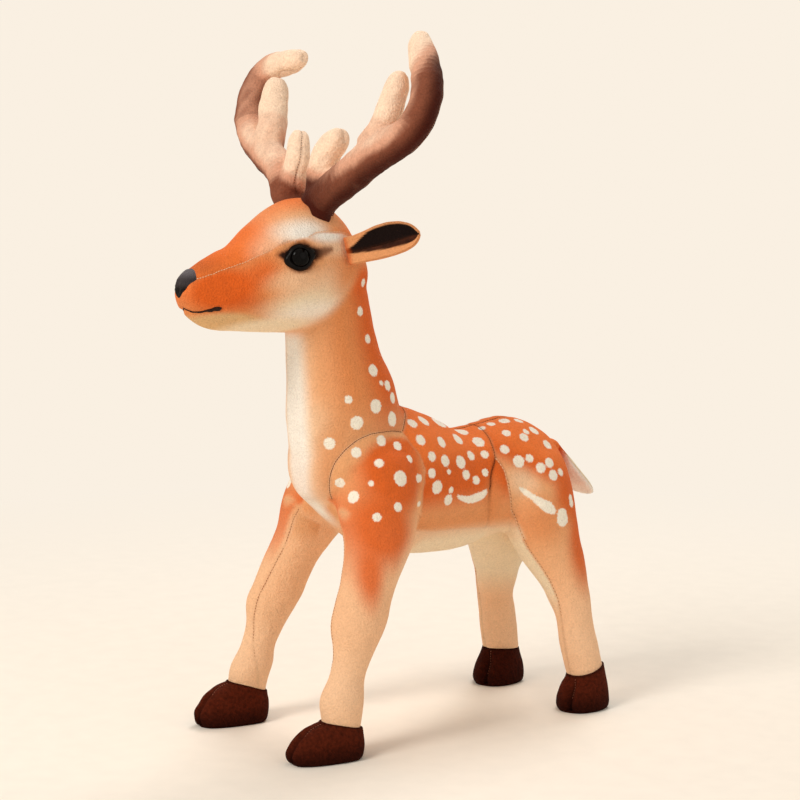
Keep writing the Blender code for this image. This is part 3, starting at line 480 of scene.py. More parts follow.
def legRings(rows, side, steps, share):
    # level rings up a leg, narrower than deep by the share
    rows = curveThrough(rows, steps)
    centres = np.stack([side * rows[:, 1], rows[:, 2], rows[:, 0]], 1)
    ones = np.ones((len(rows), 1))
    return ringsAlong(centres, ones * [1, 0, 0], ones * [0, 1, 0], rows[:, 3] * share, rows[:, 3], 48)


dock = curveThrough(form["dock"], 20)
dockRows = np.stack([dock[:, 0], dock[:, 1] + dock[:, 3], dock[:, 1] - dock[:, 3], dock[:, 2]], 1)
shells = [shellOf(lengthwise(form["trunk"], 90)), shellOf(neckRings(form["neck"], 60)),
          shellOf(lengthwise(form["head"], 80, form["headPower"])), shellOf(lengthwise(dockRows, 20))]
for _, side in bothSides:
    for leg in ("frontLeg", "rearLeg"):
        shells.append(shellOf(legRings(form[leg], side, 80, form["legWidthShare"])))
skin = reskinned(newPiece("skin", *fused(shells)),
form["voxel"], form["rounds"])
points, normals, quads = readMesh(skin)
print("stuffed form:", len(points), "points")


# seams

# each seam of the left side as places on the skin; the right side mirrors them
seamPaths = {
    "muzzle": [(0, -172.5, 276.5), (6, -170, 281.6), (8.2, -164.8, 283.8), (9.7, -157.6, 285.9),
               (10.9, -149.5, 288.6), (12.3, -143.6, 290.2), (14.5, -136.1, 293), (16.6, -130.5, 295.8),
               (18.8, -125, 298.1), (20.3, -118.4, 302), (22.4, -112, 304.3)],
    "brow": [(25, -101.5, 306), (23.7, -94.8, 309.2), (23.5, -84.7, 309), (20.7, -74.4, 308), (15, -62, 304),
             (8, -52, 298), (0, -47, 292)],
    "collar": [(0, -18, 203), (16.9, -25.5, 195.2), (28, -35.7, 186.6)],
    "shoulder": [(28, -35.7, 186.6), (27.5, -44.3, 187.8), (29.7, -60.5, 188), (28, -68.1, 185.4),
                 (27, -76.9, 178.7), (24.6, -82.5, 171.7), (22.2, -84.5, 163.7), (19.6, -83.5, 154.2),
                 (18.8, -81.5, 147)],
    "foreleg": [(26, -72, 138), (28, -81, 126), (31, -85, 113), (36, -89, 100), (41.5, -95, 81),
                (44.5, -98.5, 66), (43.5, -100, 55), (42, -99, 45), (41.5, -98, 35), (42, -96, 24)],
    "shoulderRear": [(28, -35.7, 186.6), (32, -32.6, 180), (35.2, -27.4, 172.6), (37.2, -25.1, 163.4),
                     (38.2, -27.3, 151.5), (36, -26.5, 135.4), (34, -30, 122), (36, -42, 111), (44, -54, 100),
                     (48, -60, 87), (50, -67, 71), (51, -73, 60), (52, -80, 40), (54, -86, 23)],
    "rump": [(0, 40, 183), (7.6, 39.6, 181.9), (20, 38, 174), (28.7, 36.2, 165.4)],
    "hip": [(28.7, 36.2, 165.4), (32.5, 30.1, 155), (33.3, 28, 139.5), (26.5, 31.8, 120.4)],
    "haunch": [(28.7, 36.2, 165.4), (32.9, 40.1, 158.6), (35.1, 42.4, 144.8), (31.4, 47, 129.8),
               (30.8, 52.4, 120.9), (33.1, 58.8, 105.8), (38.4, 68.5, 90.1), (42.8, 75.7, 71.9),
               (42.6, 80.3, 51.8), (44, 83.5, 32), (44, 85, 23)],
    "haunchRear": [(0, 110, 146), (4, 108, 128), (13, 106, 113), (24, 105, 98), (34, 103, 80),
                   (40, 102.5, 60), (43, 106, 40), (44, 109.5, 23)],
    "belly": [(36, -27, 126), (31, -14, 123.5), (28, 1, 122.5), (27.4, 17, 122), (26.5, 31.8, 120.4),
              (28, 45, 118)],
    "spine": [(0, -18, 203), (0, 0, 193), (0, 23, 183), (0, 45, 185), (0, 66, 187.5), (0, 86, 181),
              (0, 97, 171)],
    "nape": [(0, -47, 291), (0, -43, 281), (0, -40, 269), (0, -35, 242), (0, -29, 223), (0, -20, 207),
             (0, -18, 203)],
}
groove = {"depth": 0.6, "width": 1.15, "softDepth": 0.6, "softWidth": 3.4}
# how strongly each seam draws in, where 1 is a full groove, and how dark its line of painted shade in the
# groove is
seamLook = {"muzzle": (0.7, 0.25), "brow": (0.35, 0.15), "collar": (0.12, 0.34), "shoulder": (0.42, 0.28),
            "foreleg": (0.3, 0.22), "shoulderRear": (0.4, 0.15), "rump": (0.8, 0.5), "hip": (1.0, 0.95),
            "haunch": (0.6, 0.3), "haunchRear": (0.3, 0.2), "belly": (0.1, 0.05), "spine": (0.7, 0.6),
            "nape": (0.3, 0.2)}
seamShadowWidth = 1.0


def onLeft(place):
    # both sides laid on the left one
    return np.stack([np.abs(place[:, 0]), place[:, 1], place[:, 2]], 1)


skinTree = treeOf(skin)
sewn = {name: onSkin(path, skinTree) for name, path in seamPaths.items()}
folded = onLeft(points)
seamGap = np.full(len(points), farOff)
seamDraw = np.zeros(len(points))
seamUnshaded = np.ones(len(points))  # 1 is unshaded cloth, 0 the full line of painted shade
for name, (path, _) in sewn.items():
    pull, seamShadow = seamLook[name]
    gap = pathDistance(folded, path)
    seamGap = np.minimum(seamGap, gap / pull)
    # a line of painted shade along each seam's groove, weaker low on the hip
    fading = 0.25 + 0.75 * smoothStep(134, 152, points[:, 2]) if name == "hip" else 1.0
    seamUnshaded = np.minimum(seamUnshaded, 1 - seamShadow * fading * gapTo(gap, 0, seamShadowWidth))
    seamDraw = np.maximum(seamDraw, pull * (groove["depth"] * gapTo(gap, 0, groove["width"])
                                            + groove["softDepth"] * gapTo(gap, 0, groove["softWidth"])))
# the rust print of the shoulder stops short of its front seam and, higher up, of the seam above the foreleg;
# both gaps are taken in whole millimetres
capNear = np.interp(folded[:, 1], [-70, -45], [1, 2]) * np.interp(folded[:, 2], [152, 172], [2.2, 1])
shoulderGap, forelegGap = (np.floor(pathDistance(folded, sewn[name][0], reach))
                           for name, reach in (("shoulder", 17), ("foreleg", 9)))
capFade = smoothStep(16, 2, shoulderGap * capNear) * smoothStep(147, 160, folded[:, 2])
capEdge = (1 - capFade) * smoothStep(0, 5.5, forelegGap)
print("seams laid:", len(sewn))


def sideView(seam, first=0, last=None):
    # forward and up of a seam's places
    return [(forward, up) for _, forward, up in seamPaths[seam][first:last]]


# side-view outlines (forward, up) of the cut pieces, which follow the seams
cheekLine = [(-103.6, 250.2), (-96, 252.1), (-88.5, 259.6), (-78.1, 271.4), (-71.7, 280.2), (-66.4, 288.9),
             (-58, 292), (-47, 291)]
outlines = {
    "head": [(-200, 240), (-112, 240), *cheekLine, (-20, 290), (-20, 360), (-200, 360)],
    "neck": [(-112, 240), *cheekLine, (0, 290), (0, 212), (-17, 204), *sideView("collar", 1),
             *sideView("shoulder", 1, 8), (-79, 141), (-76, 132), (-66, 126), (-66, 100), (-140, 100),
             (-140, 240)],
    "frontLeg": [*sideView("shoulder", 0, 8), (-80, 142), (-86, 126), (-140, 118), (-140, -20), (-10, -20),
                 (-14, 100), (-28, 118), *sideView("shoulderRear", 1, 6)[::-1]],
    "rearLeg": [(39, 200), *sideView("rump", 1, 2), *sideView("haunch", 0, 5), (56, 112), (30, 100),
                (30, -20), (170, -20), (170, 200)],
}
headTopLine = [(-180, 274), (-171.9, 276.7), (-170.2, 281.6), *sideView("muzzle", 2), *sideView("brow")]
bellyLine = [(-90, 122), *sideView("belly"), (80, 112)]
# up, and how far out the border of the outer panel lies, ahead of the leg's middle and behind it
legBorders = {
    "frontLeg": ([(23, 42), (45, 42), (66, 44.5), (81, 41.5), (100, 36), (113, 31), (126, 27), (138, 21),
                  (156, 10)],
                 [(23, 54), (71, 50), (100, 44), (111, 36), (122, 34), (126, 20)]),
    "rearLeg": ([(23, 44), (51.8, 42.6), (71.9, 42.8), (90.1, 38.4), (105.8, 33.1), (116, 31), (122, 26),
                 (127, 4)],
                [(23, 44), (60, 40), (80, 34), (98, 24), (113, 13), (128, 4), (140, 0), (150, -4)]),
}
noseShape = {"tip": 272.4, "widest": 284.5, "halfWidth": 9.2, "back": -165.6}
chestTop = 172


def outerLeg(place, leg):
    # inside the leg's outline and further out than the border, which swings over at the leg's middle
    out, forward, up = np.abs(place[:, 0]), place[:, 1], place[:, 2]
    ahead, behind = legBorders[leg]
    swing = smoothStep(-6, 6, forward - lineAt([(row[0], row[2]) for row in form[leg]], up))
    border = lineAt(ahead, up) * (1 - swing) + lineAt(behind, up) * swing
    return np.minimum(polygonField(place[:, 1:], outlines[leg]), out - border)


def pieceFields(place):
    # one signed field for each cut piece, positive inside it, in the order in which they cover each other
    out, forward, up = np.abs(place[:, 0]), place[:, 1], place[:, 2]
    head, neck = (polygonField(place[:, 1:], outlines[name]) for name in ("head", "neck"))
    # the nose patch is a rounded triangle, pointed below, that wraps a little over the bridge
    rise = np.clip((up - noseShape["tip"]) / (noseShape["widest"] - noseShape["tip"]), 0, 1)
    noseSide = noseShape["halfWidth"] * np.sqrt(rise) - out
    return {
        "back": up - lineAt(bellyLine, forward),
        "neck": neck,
        "throat": np.minimum(neck, 7.5 - out),
        "frontInner": np.minimum(np.minimum(118 - up, -22 - forward), out - 5),
        "frontOuter": outerLeg(place, "frontLeg"),
        "rearInner": np.minimum(np.minimum(114 - up, forward - 38), out - 4),
        "rearOuter": outerLeg(place, "rearLeg"),
        "headSide": head,
        "headTop": np.minimum(head, up - lineAt(headTopLine, forward)),
        "nose": np.minimum(noseSide, (noseShape["back"] - forward - 0.02 * out ** 2) * 0.9),
    }


fields = pieceFields(points)
covers = ["belly", *fields, "chest"]  # a face's label is its place in this list
label = np.zeros(len(quads), int)
for number, name in enumerate(fields, 1):
    label[fields[name][quads].mean(1) > 0] = number
label[(label == covers.index("throat")) & (points[quads][:, :, 2].mean(1) < chestTop)] = covers.index("chest")
leftSide = points[quads][:, :, 0].mean(1) > 0
single = [covers.index(name) for name in ("belly", "throat", "headTop", "nose", "chest")]
code = label * 2 + (leftSide & ~np.isin(label, single))


def borderFields(place):
    # every field whose zero is a border: the pieces', the middle plane's and the chest's top
    return np.stack([*pieceFields(place).values(), place[:, 0], place[:, 2] - chestTop])


def acrossSkin(shift, facing):
    # the part of a shift that stays in the skin
    return shift - (shift * facing).sum(-1, keepdims=True) * facing


def easeBorders(points, normals):
    # slides each point on a border between two pieces along the skin to where the nearest field is zero
    lowest = np.full(len(points), 99)
    highest = np.full(len(points), -1)
    np.minimum.at(lowest, quads.ravel(), np.repeat(code, 4))
    np.maximum.at(highest, quads.ravel(), np.repeat(code, 4))
    border = np.flatnonzero(lowest != highest)
    rows = np.arange(len(border))
    moved = points.copy()
    probe = 0.3
    for _ in range(2):
        here = moved[border]
        base = borderFields(here)
        slope = np.stack([(borderFields(here + way) - base) / probe for way in np.eye(3) * probe], -1)
        slope = acrossSkin(slope, normals[border])
        size = np.maximum((slope ** 2).sum(-1), 0.04)
        pick = (np.abs(base) / np.sqrt(size)).argmin(0)
        step = -(base[pick, rows] / size[pick, rows])[:, None] * slope[pick, rows]
        moved[border] += step * (np.linalg.norm(step, axis=1) < 1.2)[:, None]
    # then every border point moves towards the middle of its two neighbours on the same border
    edges = np.sort(np.stack([quads, np.roll(quads, -1, axis=1)], -1).reshape(-1, 2), axis=1)
    turn = np.lexsort((edges[:, 1], edges[:, 0]))
    edges, owner = edges[turn], np.repeat(code, 4)[turn]
    between = edges[np.flatnonzero((edges[:-1] == edges[1:]).all(1) & (owner[:-1] != owner[1:]))]
    for _ in range(4):
        total = np.zeros_like(moved)
        times = np.zeros(len(moved))
        for a, b in ((0, 1), (1, 0)):
            np.add.at(total, between[:, a], moved[between[:, b]])
            np.add.at(times, between[:, a], 1)
        inner = np.flatnonzero(times == 2)
        moved[inner] += acrossSkin((total[inner] / 2 - moved[inner]) * 0.5, normals[inner])
    return moved


points = easeBorders(points, normals)
fields = pieceFields(points)
print("borders eased")


# relief of the skin

eyeSpot = {
    "centre": (25.6, -107.6, 294.6), "axis": (0.93, -0.32, 0.10), "radius": 8.1,
    # the two corners of the outline: turn in degrees, how far they reach out, and their width in radians
    "cornerTurn": 16, "cornerReach": 2.5, "cornerWidth": 0.42,
    # share of the outline, height along the eye's axis
    "plastic": [(0.02, -2.5), (0.6, -2.5), (0.9, -2.3), (1.0, -1.6), (1.01, -0.6), (0.97, 0.6), (0.90, 1.6),
                (0.82, 2.35), (0.76, 2.65), (0.71, 2.6), (0.68, 2.3), (0.67, 1.6), (0.5, 1.2), (0.02, 1.2)],
    "lens": [(0.02, 0.8), (0.4, 0.8), (0.66, 1.0), (0.668, 2.0), (0.655, 2.6), (0.62, 3.1), (0.55, 3.6),
             (0.45, 4.1), (0.33, 4.45), (0.2, 4.65), (0.08, 4.72), (0.02, 4.73)],
}
# depth or height, and width, of each thing that shapes the face
face = {"eyeDent": (1.6, 8.5), "brow": (1.1, 3.2), "mouth": (1.3, 1.7), "nostril": (1.6, 2.1),
"nosePad": (0.8, 1.6),
        "philtrum": (0.8, 1.0)}
browGap = 12
nostrilPlace = (6.0, -171.8, 277.4)
mouthRoute = [(0, -171, 265.8), (4, -169, 264.9), (7.1, -165.7, 264.1), (11.3, -158.1, 265.4),
              (12.6, -152.7, 265.9)]
# height, size and seed: the unevenness of the stuffing, and the puckers beside a seam with their reach
unevenness = ((0.35, 34, 3), (0.16, 13, 5))
puckers = (0.22, 6.5, 8, 5)

eyeAxis = unit(eyeSpot["axis"])
eyeUp = unit(np.array([0, 0, 1.0]) - eyeAxis * eyeAxis[2])
eyeBack = np.cross(eyeUp, eyeAxis)  # towards the rear of the head on the left side
folded = onLeft(points)
fromEye = folded - np.array(eyeSpot["centre"])
eyeAlong, eyeHigh, eyeDeep = fromEye @ eyeBack, fromEye @ eyeUp, fromEye @ eyeAxis
eyeNear = gapTo(eyeDeep, 0, 14)
eyeGap = np.sqrt((eyeAlong / 1.28) ** 2 + eyeHigh ** 2)
mouthPath = onSkin(mouthRoute, skinTree, 0.8)[0]
nostrilGap = np.linalg.norm((folded - np.array(nostrilPlace)) * [1.0, 1.0, 1.5], axis=1)
relief = -seamDraw
for height, size, seed in unevenness:
    relief += height * lumps(points, size, seed)
height, size, seed, width = puckers
relief += height * gapTo(seamGap, 0, width) * lumps(points, size, seed)
height, width = face["eyeDent"]
relief -= height * gapTo(eyeGap, 0, width, 4) * eyeNear
height, width = face["brow"]
relief += height * gapTo(eyeGap, browGap, width) * (eyeHigh > 0) * eyeNear * smoothStep(0, 6, eyeHigh)
height, width = face["mouth"]
relief -= height * gapTo(pathDistance(folded, mouthPath), 0, width)
height, width = face["nosePad"]
relief += height * smoothStep(0.0, width, fields["nose"])
height, width = face["nostril"]
relief -= height * gapTo(nostrilGap, 0, width)
height, width = face["philtrum"]
relief -= height * gapTo(folded[:, 0], 0, width) * smoothStep(0.5, 2, fields["nose"]) * (points[:, 2] < 283)
points, normals, quads, finalTree = reshaped(skin, points + normals * relief[:, None])
print("relief done")


# paint

# side-view dabs: forward, up, half length, half height, turn, colour, strength, softness, where
dabs = [
    (-50, 165, 27, 27, 0, "rust", 1.0, 0.45, "frontCap"),
    (-66, 134, 24, 28, 0, "rust", 0.95, 0.6, "frontCap"),
    (-78, 107, 9.5, 24, -8, "rust", 0.9, 0.8, "frontCap"),
    (-50, 102, 13, 26, -20, "pale", 0.75, 0.8, "frontOuter"),
    (-84, 172, 9, 30, -8, "tan", 0.45, 0.9, "neck"),
    (31, 140, 9, 16, 0, "tan", 0.7, 0.8, "back"),
    (95, 122, 12, 44, 8, "rust", 0.95, 0.8, "rearOuter"),
    (92, 103, 13, 30, 5, "rust", 0.9, 0.85, "rearOuter"),
    (84, 136, 15, 17, -10, "rust", 0.95, 0.7, "rearOuter"),
    (84, 140, 14, 10, -30, "rust", 0.45, 0.9, "rearOuter"),
    (52, 149, 13, 10, -30, "pale", 0.75, 0.9, "rearOuter"),
    (64, 124, 20, 20, 0, "tan", 0.75, 0.9, "rearOuter"),
    (-153, 277, 26, 15, 6, "muzzle", 1.0, 0.5, "headSide"),
    (-130, 287, 14, 9, 25, "muzzle", 0.7, 0.9, "headSide"),
    (-138, 269, 13, 6, 0, "deepRust", 0.4, 0.9, "headSide"),
    (-110, 281, 20, 9, 5, "pale", 0.6, 0.9, "headSide"),
    (-99, 267, 35, 13, 12, "cream", 1.0, 0.8, "headSide"),
    (-97, 262, 28, 9, 8, "white", 0.7, 0.9, "headSide"),
    (-86, 280, 17, 13, 20, "pale", 0.6, 0.9, "headSide"),
    (-150, 256.5, 28, 7.5, -1, "sand", 0.95, 0.4, "headSide"),
    (-122, 253, 34, 7, 3, "cream", 0.95, 0.6, "headSide"),
    (-72, 285, 17, 21, 0, "tan", 0.85, 0.9, "headSide"),
    (-84, 300, 18, 7, 0, "pale", 0.8, 0.9, "headSide"),
    (-88, 306.5, 17, 4.5, -2, "white", 1.0, 0.8, "headSide"),
    (-122, 302, 18, 9, 34, "pale", 0.6, 0.9, "headTop"),
    (-100, 314, 24, 13, 0, "peach", 0.95, 0.7, "headTop"),
    (-104, 311, 22, 10, 8, "pale", 0.8, 0.9, "headTop"),
    (-103, 309, 19, 8.5, 4, "white", 1.0, 0.8, "headTop"),
    (-80, 316, 18, 10, -30, "peach", 0.7, 0.9, "headTop"),
    (-161, 290.5, 13, 5.5, 12, "brown", 0.42, 0.9, "headTop"),
    (-152, 294, 16, 4, 16, "rust", 0.4, 0.9, "headTop"),
]
# the printed liner round the eye as tapered strokes: along, high and half width at each end
linerRuns = [((0, -0.1, 8.1), (1.5, 0.4, 8.3)), ((-6.5, 1.0, 4.2), (-12.4, 1.6, 0.7)),
             ((5.0, 1.6, 5.6), (11.2, 2.2, 3.1)), ((11.2, 2.2, 3.1), (20.8, 4.8, 0.6))]
# the pale stripe down the throat: height, half width
throatStripe = [(130, 4.5), (150, 8), (175, 10.5), (200, 10.5), (235, 8), (262, 7)]


def neckShare(place):
    # -1 at the neck's front, 1 at its back
    heights = np.asarray(form["neck"], float)[:, [1, 0, 2]]
    return (place[:, 1] - lineAt(heights, place[:, 2])) / lineAt(heights, place[:, 2], 2)


def linerField(place):
    # signed distance to the tapered strokes of the printed liner, negative inside, with a ragged edge
    liner = np.full(len(place), farOff)
    for start, stop in linerRuns:
        start, stop = np.array(start), np.array(stop)
        way = stop[:2] - start[:2]
        along, high = eyeAlong - start[0], eyeHigh - start[1]
        share = np.clip((along * way[0] + high * way[1]) / (way @ way), 0, 1)
        gap = np.hypot(along - share * way[0], high - share * way[1])
        liner = np.minimum(liner, gap - start[2] - share * (stop[2] - start[2]))
    return liner + 0.35 * lumps(place, 2.4, 51)


def painted(place, fields):
    # a ground colour for each cut piece, then soft dabs over it; the nose patch's colours come apart
    up, forward, out = place[:, 2], place[:, 1], np.abs(place[:, 0])
    colour = np.ones((len(place), 3)) * palette["cream"]

    def lay(mask, name):
        # colour * (1 - mask) + the palette's tone * mask
        colour[:] = mixed(colour, palette[name], mask)
    softness = {"frontInner": 7, "rearInner": 7, "headTop": 0.8, "nose": 0.8}
    soft = {name: smoothStep(-softness.get(name, 1.2), softness.get(name, 1.2), value)
            for name, value in fields.items()}
    behind = smoothStep(-48, -36, forward)  # the trunk's printed flank starts behind the shoulder
    lay(soft["back"], "peach")
    lay(soft["back"] * behind * smoothStep(129, 151, up), "rust")
    # painted highlight: the top of the back a lighter orange, where light from above falls
    lay(soft["back"] * behind * smoothStep(160, 176, up), "orange")
    lay(behind * smoothStep(142, 129, up) * 0.6, "tan")
    lay(smoothStep(128, 113, up) * smoothStep(-50, -36, forward), "cream")
    lay(smoothStep(138, 128, up) * smoothStep(-44, -56, forward), "legPeach")  # between the front legs
    share = neckShare(place)
    neck = soft["neck"]
    lay(neck, "pale")
    lay(neck * smoothStep(-1.1, -0.7, share) * 0.9, "peach")
    lay(neck * smoothStep(-0.95, -0.2, share), "tan")
    lay(neck * smoothStep(-0.15, 0.55, share + 0.006 * np.clip(215 - up, 0, 30)), "rust")
    lay(neck * smoothStep(215, 190, up) * smoothStep(-0.55, -0.9, share) * 0.8, "pale")
    lay(neck * smoothStep(216, 176, up) * smoothStep(10, 22, out) * 0.85, "neckPeach")
    stripe = lineAt(throatStripe, up)
    stripe = smoothStep(-6, 4.5, stripe - out) * smoothStep(-54, -64, forward)
    lay(stripe * (up < 262) * smoothStep(124, 138, up), "white")
    for name in ("frontInner", "rearInner"):
        lay(soft[name], "legPeach")
    lay(soft["rearInner"] * smoothStep(56, 82, up), "cream")
    lay(soft["frontOuter"], "legPeach")
    lay(soft["frontOuter"] * smoothStep(120, 150, up), "peach")
    lay(soft["frontOuter"] * capEdge * smoothStep(166, 180, up) * smoothStep(-62, -48, forward), "rust")
    lay(soft["rearOuter"], "legPeach")
    lay(soft["rearOuter"] * smoothStep(60, 120, up) * 0.8, "peach")
    lay(smoothStep(90, 40, up) * 0.4, "pale")
    slant = (up - 165) + 0.52 * (forward - 36)
    lay(soft["rearOuter"] * smoothStep(-7, 9, slant), "rust")
    # painted highlight: the top of the rump a lighter orange, where light from above falls
    lay(soft["rearOuter"] * smoothStep(4, 20, slant), "orange")
    cheek = smoothStep(-9, 5, fields["headSide"]) * (up > 240)
    lay(cheek, "tan")
    lay(cheek * smoothStep(-130, -112, forward) * 0.75, "peach")
    lay(soft["headTop"], "orange")
    lay(soft["headTop"] * smoothStep(10, 2, out) * smoothStep(-100, -120, forward) * 0.35, "rust")
    soft["headSide"] = smoothStep(-7, 3, fields["headSide"]) * (1 - soft["headTop"])
    soft["frontCap"] = soft["frontOuter"] * capEdge
    for forwardAt, upAt, length, height, turn, name, strength, edge, where in dabs:
        cosine, sine = math.cos(math.radians(turn)), math.sin(math.radians(turn))
        a = (forward - forwardAt) * cosine + (up - upAt) * sine
        b = -(forward - forwardAt) * sine + (up - upAt) * cosine
        far = np.sqrt((a / length) ** 2 + (b / height) ** 2)
        lay(soft[where] * strength * (1 - smoothStep(1 - edge, 1 + edge * 0.3, far)), name)
    liner = linerField(place)
    near = gapTo(eyeDeep, 0, 10, 6)
    lay(0.7 * near * smoothStep(2.6, -0.3, liner), "brown")
    lay(near * smoothStep(0.9, -1.1, liner) * (1 - 0.55 * smoothStep(10, 17, np.abs(eyeAlong))), "liner")
    cover = np.clip(colour, 0, 1)
    # the nose patch has its own cloth, so its colours stop at its edge
    lay(np.ones(len(place)), "nose")
    # painted highlight on the top of the nose and painted shade at its bottom
    lay(0.8 * smoothStep(282, 288, up), "noseHighlight")
    lay(smoothStep(281, 277, up), "noseShade")
    return cover, np.clip(colour, 0, 1)


# printed spots of the left side: place on the skin and radius; the right side mirrors them
spotMarks = [
    (20, -59, 278, 2.5), (23, -63, 261, 2.8), (22, -57, 244, 2.8), (25, -56, 225, 3.7), (26, -51, 217, 1.7),
    (24.7, -45.3, 215, 3.3), (24.7, -40.9, 207.5, 3.5), (28, -75, 209, 2.5), (30, -57, 204, 4.3),
    (27, -44, 195, 4.6),
    (28, -70, 195, 4.2), (20, -83, 183, 3.7), (19, -13, 191, 4.3), (12, 4, 188, 5.4), (23, -25, 190, 3.5),
    (31, -24, 181, 3.6), (28, -6, 178, 3.7), (21, 12, 178, 4.2), (9, 24, 181, 4.5), (20, 29, 175, 4.1),
    (31, -54, 183, 3.4), (33, -43, 179, 3.0), (30, -71, 177, 3.3), (38, -60, 170, 3.0), (37, -37, 171, 2.6),
    (35, -18, 171, 3.3), (34, -7, 167.4, 3.8), (31, 7, 165, 4.2), (27, 18, 168, 3.3), (27, 29, 168, 2.9),
    (26, -80, 159, 3.1), (40, -67, 159, 1.8), (44, -49, 161, 4.9), (38, -31, 159, 2.7), (37, -20, 161, 3.1),
    (35, -5, 160.4, 1.8), (33, 10, 157, 3.2), (33, 18, 153, 2.9), (32, 26, 157, 2.6), (35, -76, 151, 3.9),
    (38, -16, 152, 4.3), (36, -4, 149, 2.1), (35, -6, 143, 3.5), (50, -55, 145, 2.9), (37, -30, 143, 1.7),
    (49, -69, 140, 2.7), (9, 40, 181, 2.5), (8, 48, 183, 2.8), (9, 58, 184, 3.7), (11, 68, 184, 3.2),
    (20, 51, 178, 2.9), (25, 61, 175, 3.2), (22, 65, 178, 2.3), (20, 73, 178, 3.7), (28, 78, 170, 3.6),
    (27, 44, 169, 3.2), (33, 51, 162, 4.0), (33, 59, 163, 2.8), (37, 65, 157, 3.4), (38, 72, 160, 3.4),
    (40, 73, 152, 3.6), (38, 80, 153, 2.6), (44, 77, 124, 4.7), (44, 77, 127, 4.2), (40, 87, 133, 3.0),
    (40, 87, 136, 2.6),
]
blotches = [
    [(34, 2, 144.5, 1.0), (34, 6, 142.6, 1.7), (33, 12, 141.4, 2.5), (33, 18, 142, 2.9),
     (33.5, 23, 143.6, 2.3), (34, 25.5, 145.4, 1.4)],
    [(35, 50, 145.5, 0.8), (36.5, 54, 142.4, 1.8), (38, 58, 139.4, 2.4), (40, 62, 136, 3.3),
     (42, 67, 132.4, 4.0), (43, 70, 130, 2.6)],
]
marks = np.array(spotMarks, float)
marks[:, :3] = nearestOn(skinTree, marks[:, :3])[:, :3] / toMetres - stanceShift
rounds = [marks] + [curveThrough(chain, 40) for chain in blotches]  # a blotch is a close chain of marks
spotGap = np.full(len(points), farOff)
for mark in np.concatenate(rounds):
    spotGap = np.minimum(spotGap, np.linalg.norm(folded - mark[:3], axis=1) - mark[3])
tints, noseTints = painted(points, fields)
print("paint done")


# cut pieces of the cover

clothThickness = 1.0
coverPieces = [
    # piece, the solid that it stands for, slot, field that cuts it
    ("belly_plush", "belly_panel", "cream_plush", "belly"),
    ("chest_plush", "chest_panel", "cream_plush", "chest"),
    ("throat_plush", "throat_panel", "cream_plush", "throat"),
    ("head_top_plush", "head_top_panel", "back_plush", "headTop"),
    ("nose_plush_patch", "nose_patch", "nose_plush", "nose"),
    ("back_plush_{}", "back_panel_{}", "back_plush", "back"),
    ("neck_plush_{}", "neck_panel_{}", "side_plush", "neck"),
    ("head_side_plush_{}", "head_side_panel_{}", "side_plush", "headSide"),
    ("front_leg_outer_plush_{}", "front_leg_outer_panel_{}", "side_plush", "frontOuter"),
    ("front_leg_inner_plush_{}", "front_leg_inner_panel_{}", "cream_plush", "frontInner"),
    ("rear_leg_outer_plush_{}", "rear_leg_outer_panel_{}", "side_plush", "rearOuter"),
    ("rear_leg_inner_plush_{}", "rear_leg_inner_panel_{}", "cream_plush", "rearInner"),
]
filling = {"inset": 2.6, "antlerInset": 2.2, "voxel": 2.6}


def sheetPiece(name, place, facing, quads, chosen):
    # the chosen quads as a closed sheet: outside as given, a copy moved inwards, a rim round the free edges;
    # the outer face keeps the given normals, so that two sheets meet without a shading step
    used, corners = np.unique(quads[chosen], return_inverse=True)
    place, facing, faces = place[used], facing[used], corners.reshape(-1, 4)
    count = len(place)
    edges = np.stack([faces, np.roll(faces, -1, axis=1)], -1).reshape(-1, 2)
    _, where, times = np.unique(edges.min(1) * count + edges.max(1), return_index=True, return_counts=True)
    free = edges[where[times == 1]]
    rim = np.stack([free[:, 1], free[:, 0], free[:, 0] + count, free[:, 1] + count], 1)
    whole = np.concatenate([place, place - facing * clothThickness])
    piece = newPiece(name, whole, np.concatenate([faces, faces[:, ::-1] + count, rim]).tolist())
    a, b, c = (whole[rim[:, n]] for n in range(3))
    flat = unit(np.cross(b - a, c - b) + 1e-12)
    shading = [facing[faces].reshape(-1, 3), -facing[faces[:, ::-1]].reshape(-1, 3), np.repeat(flat, 4, 0)]
    piece.data.normals_split_custom_set(np.concatenate(shading).tolist())
    return piece, np.concatenate([used, used])


for pattern, node, slot, name in coverPieces:
    halves = (("left", leftSide), ("right", ~leftSide)) if "{}" in pattern else (("", True),)
    for side, half in halves:
        piece, twice = sheetPiece(pattern.format(side),
        points, normals, quads, (label == covers.index(name)) & half)
        tint = noseTints if name == "nose" else tints
        givePaint(piece, tint[twice], spot=spotGap[twice], seam=seamUnshaded[twice])
        settle(piece, plush, [node.format(side)])
print("cover cut")

# the filling is the same form, a little smaller
fillPiece = reskinned(newPiece("fibre_filling", points - normals * filling["inset"], quads.tolist()),
filling["voxel"])
fillPiece.data.polygons.foreach_set("use_smooth", np.ones(len(fillPiece.data.polygons), bool))
bpy.data.objects.remove(skin)
nodes = ["trunk_stuffing", "neck_stuffing", "head_stuffing"]
nodes += [f"{end}_leg_stuffing_{side}" for end in ("front", "rear") for side, _ in bothSides]
settle(fillPiece, finish["fibre_fill"], nodes)


# hooves

